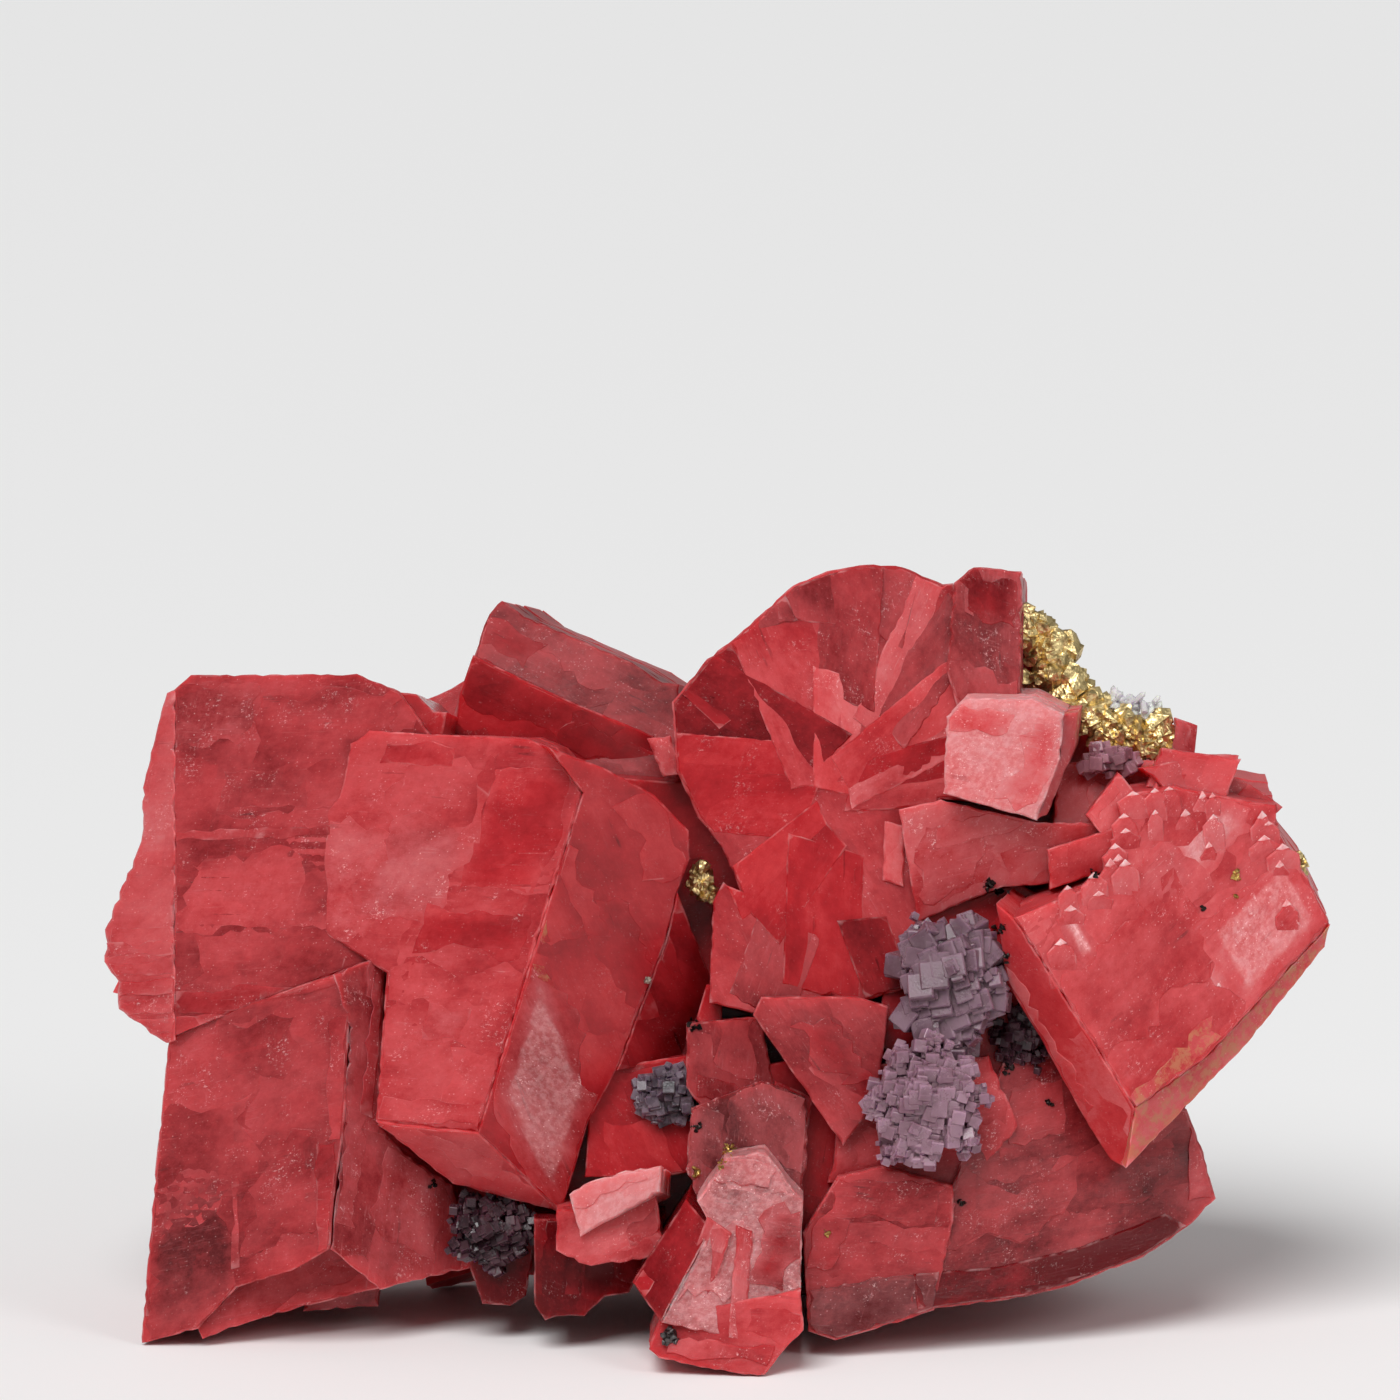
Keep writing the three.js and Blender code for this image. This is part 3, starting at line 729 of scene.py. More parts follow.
class NodeSheet:
    """A small helper that adds and links shader nodes in a tree."""

    def __init__(self, tree: bpy.types.NodeTree) -> None:
        """Keep the tree that nodes are added to."""
        self.tree = tree

    def add(self, kind: str, settings: dict | None = None, **inputs: object) -> bpy.types.Node:
        """Add a node, set its properties and fill or link its inputs.

        Args:
            kind: Type of the node, without its ShaderNode prefix.
            settings: Properties to set on the node.
            **inputs: Values or sockets, keyed by input name with _ for a space.

        Returns:
            The node.
        """
        node = self.tree.nodes.new(f"ShaderNode{kind}")
        for key, value in (settings or {}).items():
            setattr(node, key, value)
        for key, value in inputs.items():
            socket = node.inputs[int(key[1:])] if key[1:].isdigit() else node.inputs[key.replace("_", " ")]
            if isinstance(value, bpy.types.NodeSocket):
                self.tree.links.new(value, socket)
            else:
                socket.default_value = value
        return node

    def maths(self, operation: str, *values: object, clamp: bool = False) -> bpy.types.NodeSocket:
        """Add a Math node and return its output."""
        keyed = {f"i{i}": value for i, value in enumerate(values)}
        return self.add("Math", {"operation": operation, "use_clamp": clamp}, **keyed).outputs[0]

    def ranged(
        self, value: object, low: float, high: float, start: float = 0.0, end: float = 1.0
    ) -> bpy.types.NodeSocket:
        """Map a value smoothly from one range to another, held at its ends."""
        smooth = {"interpolation_type": "SMOOTHSTEP"}
        return self.add("MapRange", smooth, i0=value, i1=low, i2=high, i3=start, i4=end).outputs[0]

    def mixed(self, factor: object, first: object, second: object) -> bpy.types.NodeSocket:
        """Mix two colours and return the result."""
        made = self.add("Mix", {"data_type": "RGBA"}, i0=factor, i6=first, i7=second)
        return made.outputs[2]

    def stored(self, name: str, output: int = 2) -> bpy.types.NodeSocket:
        """Read numbers stored on the mesh: output 1 is a vector and 2 is a value."""
        return self.add("Attribute", {"attribute_name": name}).outputs[output]


def new_finish(name: str) -> tuple[bpy.types.Material, NodeSheet]:
    """Start an empty material and the sheet that its nodes go on."""
    made = bpy.data.materials.new(name)
    made.use_nodes = True
    made.node_tree.nodes.clear()
    return made, NodeSheet(made.node_tree)


def rgb(red: float, green: float, blue: float) -> tuple[float, float, float, float]:
    """A colour with full alpha, from linear values."""
    return (red, green, blue, 1.0)


def effect_group(name: str, inputs: dict[str, str], outputs: dict[str, str]) -> bpy.types.NodeTree:
    """Start a node group with named inputs and outputs.

    Args:
        name: Name of the group.
        inputs: Socket type of each input.
        outputs: Socket type of each output.

    Returns:
        The group.
    """
    group = bpy.data.node_groups.new(name, "ShaderNodeTree")
    for label, kind in inputs.items():
        group.interface.new_socket(label, in_out="INPUT", socket_type=f"NodeSocket{kind}")
    for label, kind in outputs.items():
        group.interface.new_socket(label, in_out="OUTPUT", socket_type=f"NodeSocket{kind}")
    return group


def growth_group() -> bpy.types.NodeTree:
    """Effect of crystal growth: soft clouds, growth zones, veils along the cleavage, dust and fine height.

    Returns:
        A group with outputs Cloud, Zone, Veil, Scar, Dust, Crack and Height.
    """
    labels = ("Cloud", "Zone", "Veil", "Scar", "Dust", "Crack", "Height")
    inputs = {"Grain": "Vector", "Fine": "Float"}
    group = effect_group("crystal_growth", inputs, {label: "Float" for label in labels})
    sheet = NodeSheet(group)
    given = group.nodes.new("NodeGroupInput")
    result = group.nodes.new("NodeGroupOutput")
    grain = given.outputs["Grain"]

    def noise_at(stretch: Point3, detail: float, roughness: float = 0.6) -> bpy.types.NodeSocket:
        """Noise drawn out along the growth directions."""
        spot = sheet.add("VectorMath", {"operation": "MULTIPLY"}, i0=grain, i1=stretch).outputs[0]
        made = sheet.add("TexNoise", None, Vector=spot, Scale=1.0, Detail=detail, Roughness=roughness)
        return made.outputs[0]

    soft = noise_at((0.1, 0.13, 0.12), 3.0, 0.6)
    mottle = noise_at((1.1, 1.3, 1.2), 5.0, 0.8)
    cloud = sheet.maths("ADD", sheet.ranged(soft, 0.3, 0.7), sheet.maths("MULTIPLY_ADD", mottle, 1.5, -0.75))
    bend = sheet.add("TexNoise", None, Vector=grain, Scale=0.5, Detail=2.0).outputs[1]
    bent = sheet.add("Mix", {"data_type": "VECTOR"}, i0=0.22, i4=grain, i5=bend).outputs[1]
    spot = sheet.add("VectorMath", {"operation": "MULTIPLY"}, i0=bent, i1=(0.24, 0.34, 0.22)).outputs[0]
    cells = sheet.add("TexVoronoi", {"distance": "CHEBYCHEV"}, Vector=spot, Scale=1.0, Randomness=0.85)
    zone = sheet.add("SeparateColor", None, Color=cells.outputs["Color"]).outputs[0]
    patch = noise_at((0.2, 0.26, 0.2), 2.0)
    far_patch = noise_at((0.33, 0.21, 0.4), 2.0)
    along = sheet.ranged(noise_at((0.4, 4.8, 0.6), 3.0, 0.7), 0.54, 0.74)
    across = sheet.ranged(noise_at((4.4, 0.5, 0.6), 2.0, 0.7), 0.56, 0.74)
    veil = sheet.maths(
        "MAXIMUM",
        sheet.maths("MULTIPLY", along, sheet.ranged(patch, 0.42, 0.62)),
        sheet.maths("MULTIPLY", across, sheet.ranged(far_patch, 0.5, 0.66)),
    )
    rubbed = sheet.ranged(noise_at((2.6, 3.4, 3.0), 4.0, 0.8), 0.56, 0.66)
    scar = sheet.maths("MULTIPLY", rubbed, sheet.ranged(far_patch, 0.56, 0.66))
    grains = sheet.add("TexVoronoi", None, Vector=grain, Scale=2.7, Randomness=1.0)
    chosen = sheet.add("SeparateColor", None, Color=grains.outputs["Color"]).outputs[1]
    near = sheet.ranged(grains.outputs["Distance"], 0.06, 0.26, 1.0, 0.0)
    dust = sheet.maths("MULTIPLY", near, sheet.ranged(chosen, 0.3, 0.95, 0.0, 0.75))
    dust = sheet.maths("MULTIPLY", dust, sheet.ranged(patch, 0.38, 0.6, 0.25, 1.0))
    crack = sheet.ranged(noise_at((0.13, 1.5, 0.2), 3.0, 0.5), 0.66, 0.69)
    crack = sheet.maths("MULTIPLY", crack, sheet.ranged(patch, 0.52, 0.6))
    tooth = noise_at((2.6, 4.2, 3.0), 4.0, 0.76)
    height = sheet.maths("MULTIPLY_ADD", tooth, given.outputs["Fine"], sheet.maths("MULTIPLY", scar, 0.5))
    sockets = (cloud, zone, veil, scar, dust, crack, height)
    for label, socket in zip(labels, sockets):
        group.links.new(socket, result.inputs[label])
    return group


@dataclass(frozen=True)
class RedFinish:
    """Finish of the rhodochrosite, a translucent red that pales where it is etched or bruised, and along its
    edges, where the paleness is partly chips and partly painted highlight.

    Attributes:
        deep: Colour of the deepest gem red.
        body: Colour of an ordinary face.
        clear_red: Colour of a bright clear face.
        salmon: Colour of a pale face.
        frosting: Colour of the etched bloom over a face.
        bruise_and_edge_highlight: Colour of scars, dust and chalk, and of the pale edge rims, which stand
            partly for chipped edges and partly for painted highlight.
        rust: Colour of the iron film.
        scatter: How far red light travels inside, in metres.
        glow: Share of the light that travels inside, from 0 to 1.
        refraction: How strongly the surface bends light.
        shine: Strength of its reflections, where 0.5 is ordinary.
    """

    deep: tuple = rgb(0.1, 0.0015, 0.003)
    body: tuple = rgb(0.42, 0.014, 0.02)
    clear_red: tuple = rgb(0.58, 0.046, 0.052)
    salmon: tuple = rgb(0.7, 0.16, 0.165)
    frosting: tuple = rgb(0.56, 0.19, 0.2)
    bruise_and_edge_highlight: tuple = rgb(0.86, 0.55, 0.55)
    rust: tuple = rgb(0.46, 0.19, 0.09)
    scatter: float = 0.0035
    glow: float = 0.855
    refraction: float = 1.6
    shine: float = 0.24

    def material(self) -> bpy.types.Material:
        """Build the material, which reads what each crystal's faces carry."""
        made, sheet = new_finish("rhodochrosite")
        growth = made.node_tree.nodes.new("ShaderNodeGroup")
        growth.node_tree = growth_group()
        growth.inputs["Fine"].default_value = 0.7
        grain = sheet.stored("grain", 1)
        made.node_tree.links.new(grain, growth.inputs["Grain"])
        out = growth.outputs
        frost, gloss, stain, rim = (sheet.stored(name) for name in ("frost", "gloss", "stain", "rim"))
        clouded = sheet.maths("MULTIPLY_ADD", out["Cloud"], 0.28, -0.14)
        tone = sheet.maths("ADD", sheet.stored("tone"), clouded)
        tone = sheet.maths("ADD", tone, sheet.maths("MULTIPLY_ADD", out["Zone"], 0.08, -0.04))
        tone = sheet.maths("SUBTRACT", tone, sheet.maths("MULTIPLY", out["Crack"], 0.2), clamp=True)
        ramp = sheet.add("ValToRGB", None, Fac=tone)
        stops = ramp.color_ramp.elements
        stops[0].position, stops[0].color = 0.0, self.deep
        stops[1].position, stops[1].color = 1.0, self.salmon
        for place, shade in ((0.46, self.body), (0.72, self.clear_red)):
            stops.new(place).color = shade
        bloom = sheet.maths("MULTIPLY", sheet.maths("MULTIPLY_ADD", out["Cloud"], 0.5, 0.05), frost)
        veil = sheet.maths("MULTIPLY", out["Veil"], sheet.maths("MULTIPLY_ADD", frost, 0.36, 0.06))
        bloom = sheet.maths("ADD", bloom, veil, clamp=True)
        colour = sheet.mixed(bloom, ramp.outputs[0], self.frosting)
        broken = sheet.add("TexNoise", None, Vector=grain, Scale=0.55, Detail=3.0).outputs[0]
        # Pale edge rims: within 0.25 mm of an edge the colour goes towards the pale bruise colour. This
        # stands partly for chipped edges and partly for a painted highlight where light catches the edges.
        edge_chips_and_highlight = sheet.ranged(rim, 0.0, 0.25, 0.4, 0.0)
        edge = sheet.maths("MULTIPLY", edge_chips_and_highlight, sheet.ranged(broken, 0.42, 0.62))
        rubbed = sheet.maths("ADD", out["Scar"], out["Dust"])
        marks = sheet.maths("MULTIPLY", rubbed, sheet.maths("MULTIPLY_ADD", frost, 0.9, 0.15))
        powder = sheet.add("TexNoise", None, Vector=grain, Scale=1.6, Detail=4.0, Roughness=0.75).outputs[0]
        cover = sheet.ranged(frost, 1.3, 1.6, sheet.ranged(powder, 0.4, 0.64, 0.35, 1.0), 1.0)
        chalk = sheet.maths("MULTIPLY", sheet.ranged(frost, 0.95, 1.5, 0.0, 0.9), cover)
        marks = sheet.maths("ADD", sheet.maths("ADD", marks, edge), chalk, clamp=True)
        colour = sheet.mixed(marks, colour, self.bruise_and_edge_highlight)
        film = sheet.add("TexNoise", None, Vector=grain, Scale=0.9, Detail=5.0, Roughness=0.7).outputs[0]
        colour = sheet.mixed(sheet.maths("MULTIPLY", stain, sheet.ranged(film, 0.44, 0.6)), colour, self.rust)
        rough = sheet.maths("MULTIPLY_ADD", gloss, -0.38, 0.52)
        dulled = sheet.maths("MULTIPLY", sheet.maths("ADD", bloom, marks), 0.25)
        rough = sheet.maths("ADD", rough, dulled, clamp=True)
        lift = sheet.maths("MULTIPLY", out["Height"], sheet.maths("MULTIPLY_ADD", gloss, -0.7, 1.0))
        bump = sheet.add("Bump", None, Strength=0.55, Distance=0.00013, Height=lift).outputs[0]
        walk = {"subsurface_method": "RANDOM_WALK"}
        shader = sheet.add("BsdfPrincipled", walk, Base_Color=colour, Roughness=rough, Normal=bump)
        shader.inputs["IOR"].default_value = self.refraction
        shader.inputs["Specular IOR Level"].default_value = self.shine
        shader.inputs["Subsurface Weight"].default_value = self.glow
        shader.inputs["Subsurface Radius"].default_value = (1.0, 0.12, 0.13)
        shader.inputs["Subsurface Scale"].default_value = self.scatter
        sheet.add("OutputMaterial", None, Surface=shader.outputs[0])
        return made


@dataclass(frozen=True)
class FluoriteFinish:
    """Finish of a fluorite cluster: translucent cubes, each a little different.

    Attributes:
        name: Name of the finish.
        pale: Colour of the palest cubes.
        deep: Colour of the deepest cubes.
        clear: How much light passes straight through, from 0 to 1.
        scatter: How far light travels inside, in metres.
        glow: Share of the light that travels inside, from 0 to 1.
        refraction: How strongly the surface bends light.
    """

    name: str
    pale: tuple
    deep: tuple
    clear: float
    scatter: float = 0.0018
    glow: float = 0.7
    refraction: float = 1.434

    def material(self) -> bpy.types.Material:
        """Build the material, which shades each cube by the number it carries."""
        made, sheet = new_finish(self.name)
        place = sheet.add("TexCoord").outputs["Object"]
        cloud = sheet.add("TexNoise", None, Vector=place, Scale=320.0, Detail=6.0, Roughness=0.65).outputs[0]
        broad = sheet.ranged(cloud, 0.34, 0.66)
        each = sheet.maths("MULTIPLY", sheet.stored("shade"), 0.35)
        share = sheet.maths("MULTIPLY_ADD", broad, 0.65, each, clamp=True)
        colour = sheet.mixed(share, self.deep, self.pale)
        grit = sheet.add("TexNoise", None, Vector=place, Scale=4200.0, Detail=3.0).outputs[0]
        bump = sheet.add("Bump", None, Strength=0.5, Distance=0.00006, Height=grit).outputs[0]
        rough = sheet.ranged(cloud, 0.3, 0.7, 0.14, 0.4)
        shader = sheet.add("BsdfPrincipled", None, Base_Color=colour, Roughness=rough, Normal=bump)
        shader.inputs["IOR"].default_value = self.refraction
        shader.inputs["Transmission Weight"].default_value = self.clear
        shader.inputs["Subsurface Weight"].default_value = self.glow
        shader.inputs["Subsurface Radius"].default_value = (0.8, 0.6, 1.0)
        shader.inputs["Subsurface Scale"].default_value = self.scatter
        sheet.add("OutputMaterial", None, Surface=shader.outputs[0])
        return made


@dataclass(frozen=True)
class BrassyFinish:
    """Finish of the chalcopyrite: brassy metal with patches of tarnish.

    Attributes:
        name: Name of the finish.
        bright: Colour of fresh faces.
        tarnish: Colour of tarnished places.
    """

    name: str
    bright: tuple
    tarnish: tuple

    def material(self) -> bpy.types.Material:
        """Build the metal with its fine-grained relief."""
        made, sheet = new_finish(self.name)
        place = sheet.add("TexCoord").outputs["Object"]
        film = sheet.add("TexNoise", None, Vector=place, Scale=1100.0, Detail=5.0, Roughness=0.65).outputs[0]
        grains = sheet.add("TexVoronoi", None, Vector=place, Scale=2600.0)
        colour = sheet.mixed(sheet.ranged(film, 0.42, 0.64), self.bright, self.tarnish)
        rough = sheet.ranged(film, 0.35, 0.7, 0.36, 0.6)
        relief = sheet.maths("ADD", grains.outputs["Distance"], sheet.maths("MULTIPLY", film, 0.6))
        bump = sheet.add("Bump", None, Strength=0.8, Distance=0.0001, Height=relief).outputs[0]
        shader = sheet.add("BsdfPrincipled", None, Base_Color=colour, Roughness=rough, Normal=bump)
        shader.inputs["Metallic"].default_value = 1.0
        sheet.add("OutputMaterial", None, Surface=shader.outputs[0])
        return made


# ------------------------------------------------------------------ the red crystals


@dataclass
class RedCrystals:
    """The intergrown mass of rhodochrosite, in one solid.

    Attributes:
        finish: Finish of all its faces.
        seed: Start of its random draws.
        small_depth: Least and greatest depth of the back's small rhombs, in mm.
        small_size: Least and greatest edge of them, in mm.
        small_turn: How far they are turned about each direction at most, in degrees.
        back_tone: Least and greatest tone of the back's rhombs.
        slabs: Its crystals, from left to right and then the lower blocks.
        surface: Its finished surface, once it is built.
    """

    finish: RedFinish = field(default_factory=RedFinish)
    seed: int = 11
    small_depth: Point2 = (15.5, 18)
    small_size: Point2 = (4.5, 10)
    small_turn: float = 28
    back_tone: Point2 = (0.34, 0.54)
    slabs: list[Slab] = field(default_factory=list)
    surface: "Surface | None" = None

    def great_rhomb(self) -> list[Slab]:
        """Crystals of the great rhomb on the left."""
        top, ridge = (-13.1, 57.1), -24.0
        return [
            Slab(
                "back plate",
                [(-53.6, 67.2), (-51.9, 68.7), (-35.5, 68.8), (-31.2, 67.1), (-28, 62.5), (-12, 58),
                 (-12, 40),
                 (-33, 40.8), (-43.8, 36.8), (-53.6, 33)],
                (-45, 55), -15.5, (-0.06, 0), (4, 29, -3), Look.SATIN, 0.36, 2, 6,
            ),
            Slab(
                "left-hand edge",
                [(-53.6, 67.2), (-54.3, 66.9), (-55.3, 63.8), (-56.8, 57.5), (-57, 52.2), (-58.7, 48.4),
                 (-60.8, 43.4), (-60.8, 40.2), (-59.4, 38.1), (-59.4, 35.5), (-54.4, 32.1), (-53.4, 32.6),
                 (-53.4, 67)],
                (-53.6, 55), -15, (-1, 0), (4, 26, -2), Look.ROUGH, 0.62, 4, 4,
            ),
            Slab(
                "top corner face",
                [(-31.3, 67), (-29.6, 66.8), (-27.9, 65.1), (-26.6, 65), (-27.2, 62), (-33, 62)],
                (-31.3, 67), -16.2, (0.35, -0.1), (2, 20, -1), Look.GEM, 0.4, 10,
            ),
            Slab(
                "front plate",
                [(-37.2, 56.6), (-36.7, 58.5), (-36.1, 61.9), (-34.2, 63.2), (-26.7, 62.8), (-18.7, 62.5),
                 (-16.3, 61.5), (-13.1, 57.1), (-17.7, 42.2), (-23.4, 23.7), (-33.6, 24.7), (-32.5, 39.3),
                 (-40, 44), (-40, 54)],
                top, ridge, (-0.32, 0), (2, 26, 0), Look.SATIN, 0.5, -3, 7,
            ),
            Slab(
                "right-hand face",
                [(-16.4, 61.6), (-10.9, 59.5), (-6.1, 56.9), (-2.7, 53.3), (-2.6, 50.5), (-3.8, 47.2),
                 (-5, 42.3), (-9.8, 29.6), (-12.6, 24.5), (-15.3, 15.5), (-23.4, 23.7), (-17.7, 42.2),
                 (-13.1, 57.1)],
                top, ridge, (0.7, -0.303), (-3, 20, 1), Look.GEM, 0.46, -68, 2,
            ),
            Slab(
                "deep side face",
                [(-3.8, 47.2), (-0.4, 38.3), (-2.9, 30.1), (-9.8, 29.6), (-5, 42.3)],
                (-5, 42.3), -13.9, (1.5, -0.576), (-4, 16, 0), Look.GEM, 0.3, -70, 1,
            ),
            Slab(
                "under face",
                [(-33.6, 24.7), (-23.4, 23.7), (-15.3, 15.5), (-26.1, 18.2), (-31, 22.4)],
                (-23.4, 23.7), -21.1, (-0.416, -1.406), (2, 24, 6), Look.SATIN, 0.62, -20, 1,
            ),
        ]

    def lower_left(self) -> list[Slab]:
        """Crystals of the rhomb at the lower left."""
        back = (6.0, 26.0, 3.4)
        return [
            Slab(
                "lower left front",
                [(-54.1, 33.3), (-43.8, 37.1), (-37.7, 39.2), (-35.9, 36.5), (-36.2, 33.9), (-36.6, 24.8),
                 (-37.7, 16.9), (-38.1, 12), (-42, 9.8), (-47.4, 8.1), (-51.2, 4), (-57, 2.4),
                 (-55.6, 19.2)],
                (-57, 2.4), -11.5, (-0.24, -0.05), back, Look.SATIN, 0.33, 14, 5,
            ),
            Slab(
                "lower left side",
                [(-37.7, 39.2), (-33.6, 40.9), (-32.7, 39.5), (-33.3, 24.2), (-30.9, 21.3), (-26.2, 18),
                 (-24.5, 11.9), (-23.6, 9.8), (-33.3, 7.8), (-38.1, 12), (-37.1, 21.3), (-36.2, 33.9)],
                (-36.2, 33.9), -18.05, (0.75, -0.136), back, Look.ROUGH, 0.32, 84, 6,
            ),
            Slab(
                "lower left ledge",
                [(-50.9, 2.9), (-51.5, 4.4), (-44, 14), (-30, 14), (-24, 11), (-23.6, 9.8), (-33.3, 7.8),
                 (-40.9, 6), (-46.2, 4.6)],
                (-50.9, 2.9), -12.3, (0.22, 0), back, Look.ROUGH, 0.45, 12, 3,
            ),
        ]

    def blade(self) -> list[Slab]:
        """Crystals of the blade behind the great rhomb."""
        return [
            Slab(
                "blade top",
                [(-21.5, 76.3), (-23.1, 74.3), (-24, 71.2), (-25.5, 67.3), (-27.5, 60), (-4, 54),
                 (-3.7, 67.8),
                 (-5.4, 68), (-8.5, 70), (-13.4, 72.1), (-19.2, 74.6)],
                (-20, 70), 0, (0.1, 0.25), (4, 16, -1), Look.SATIN, 0.26, -28, 4,
            ),
            Slab(
                "blade face",
                [(-24.2, 70.7), (-18.7, 68), (-13.4, 65.6), (-6.3, 62.7), (-3.7, 54.7), (-10, 50),
                 (-27, 58),
                 (-25.5, 67.3)],
                (-20, 66), -4, (0.15, -0.2), (3, 14, -1), Look.GEM, 0.34, -24, 2,
            ),
        ]

    def fan(self) -> list[Slab]:
        """The fan's body, the block at its top and the arm that runs out to its right."""
        return [
            Slab(
                "fan",
                [(-4.4, 66), (-0.9, 70.3), (2.2, 72.7), (7.6, 77.6), (11, 79), (14.9, 79.7), (18.5, 79.5),
                 (22.5, 77.7), (23.5, 77.8), (30, 64), (26, 56), (22.2, 56.4), (19.9, 44.2), (18.8, 37.6),
                 (13.8, 36.1), (11.4, 36.9), (3.6, 35.2), (-0.7, 36.2), (-0.4, 46.2), (0.7, 48.2),
                 (2.4, 47.2),
                 (0.5, 51.7), (-1.8, 54.5), (-4, 59.2)],
                (14.9, 60), -10.6, (0.02, 0.06), (1, 15, -1), Look.SATIN, 0.42, -62,
            ),
            Slab(
                "fan top block",
                [(23.5, 77.8), (25.5, 79.5), (30.3, 79), (30.4, 75.7), (30, 64), (24.3, 64), (22.8, 69.1)],
                (26, 70), -11, (0.05, 0.08), (1, 15, -1), Look.ROUGH, 0.28, 88, 3,
            ),
            Slab(
                "fan arm",
                [(18, 55.4), (22.2, 56.4), (31.8, 54.1), (39.4, 54.2), (39.4, 49.2), (37.4, 48.2),
                 (28.4, 47.7),
                 (19.9, 44.2)],
                (28, 50), -13, (0.05, -0.3), (0, 20, 0), Look.FROSTED, 0.6, 16, 4,
            ),
        ]

    def blades(self, body: Slab) -> list[Slab]:
        """Blades that spread over the fan from its two hubs, each rolled a little about its own length.

        Args:
            body: The fan's body.

        Returns:
            The blades.
        """
        made = []
        face = anticlockwise(body.outline)
        for hub, blades in ((FAN_HUB, self.upper_blades()), (LOW_HUB, self.lower_blades())):
            for angle, near, far, wide, tone, look, roll in blades:
                turn = math.radians(angle)
                ahead = np.array([math.cos(turn), math.sin(turn)])
                middle = np.array(hub) + ahead * (near + far) / 2
                whole = cleavage(tuple(middle), (far - near, wide), angle)
                left = clipped(face + inward(face) * PANE_MARGIN, whole)
                if len(left) < 3 or not is_simple(anticlockwise(left)):
                    continue
                tilt = (body.tilt[0] - ahead[1] * roll, body.tilt[1] + ahead[0] * roll)
                depth = float(body.depth_at(middle)) - abs(roll) * wide / 4 - 0.1
                outline = [tuple(corner) for corner in left]
                pivot = tuple(middle)
                made.append(Slab("fan blade", outline, pivot, depth, tilt, (0, 5, 0), look, tone, angle))
        return made

    def upper_blades(self) -> list[tuple[float, float, float, float, float, Look, float]]:
        """Direction in degrees, near and far end, width, tone, finish and roll of each upper blade."""
        return [
            (176, 2, 19, 10, 0.42, Look.GEM, 0.02),
            (150, 3, 21.5, 12, 0.18, Look.GEM, 0.03),
            (137, 12, 24, 7, 0.2, Look.GEM, -0.03),
            (112, 1, 19, 8.5, 0.54, Look.SATIN, -0.04),
            (117, 18, 27, 9, 0.2, Look.SATIN, 0.04),
            (98, 17, 27, 7, 0.26, Look.SATIN, -0.04),
            (86, 9, 26, 6.5, 0.34, Look.SATIN, 0.05),
            (90, 0, 12, 5, 0.74, Look.SATIN, -0.06),
            (76, 16, 27, 6, 0.26, Look.SATIN, 0.03),
            (66, 7, 24.5, 3.4, 0.64, Look.FROSTED, -0.08),
            (54, 8, 22, 6, 0.24, Look.SATIN, 0.05),
            (40, 1, 19, 6.5, 0.64, Look.SATIN, -0.05),
            (27, 1, 17, 4.4, 0.6, Look.FROSTED, 0.04),
            (15, 2, 14, 5.5, 0.4, Look.GEM, -0.03),
            (3, 1, 14, 4, 0.5, Look.SATIN, 0.04),
        ]

    def lower_blades(self) -> list[tuple[float, float, float, float, float, Look, float]]:
        """The same for each blade that hangs below the middle of the fan."""
        return [
            (218, 0, 12, 5, 0.5, Look.GEM, 0.04),
            (236, 0, 12, 6, 0.38, Look.GEM, -0.03),
            (268, 2, 17, 8, 0.4, Look.GEM, 0.03),
            (250, 10, 20, 7, 0.24, Look.SATIN, -0.03),
            (290, 10, 19, 5, 0.22, Look.GEM, 0.05),
        ]

    def pale_rhomb(self) -> list[Slab]:
        """Crystals of the small pale rhomb on the fan."""
        back = (1.0, 12.0, 1.0)
        return [
            Slab(
                "pale rhomb front",
                [(22.6, 64.6), (24.3, 66.4), (31.1, 66.4), (34.3, 64.8), (33.9, 60.5), (31.6, 54.3),
                 (22.3, 57)],
                (28, 60), -18.5, (0.08, 0), back, Look.DUSTY, 0.84, -12, 1,
            ),
            Slab(
                "pale rhomb side",
                [(34.2, 64.8), (35.7, 65), (35.5, 61.3), (34.5, 59.2), (32.7, 54.8), (31.5, 54.3),
                 (33.8, 60.5)],
                (34.2, 64.8), -18, (1.5, -0.6), back, Look.FROSTED, 0.75, 70, 0,
            ),
        ]

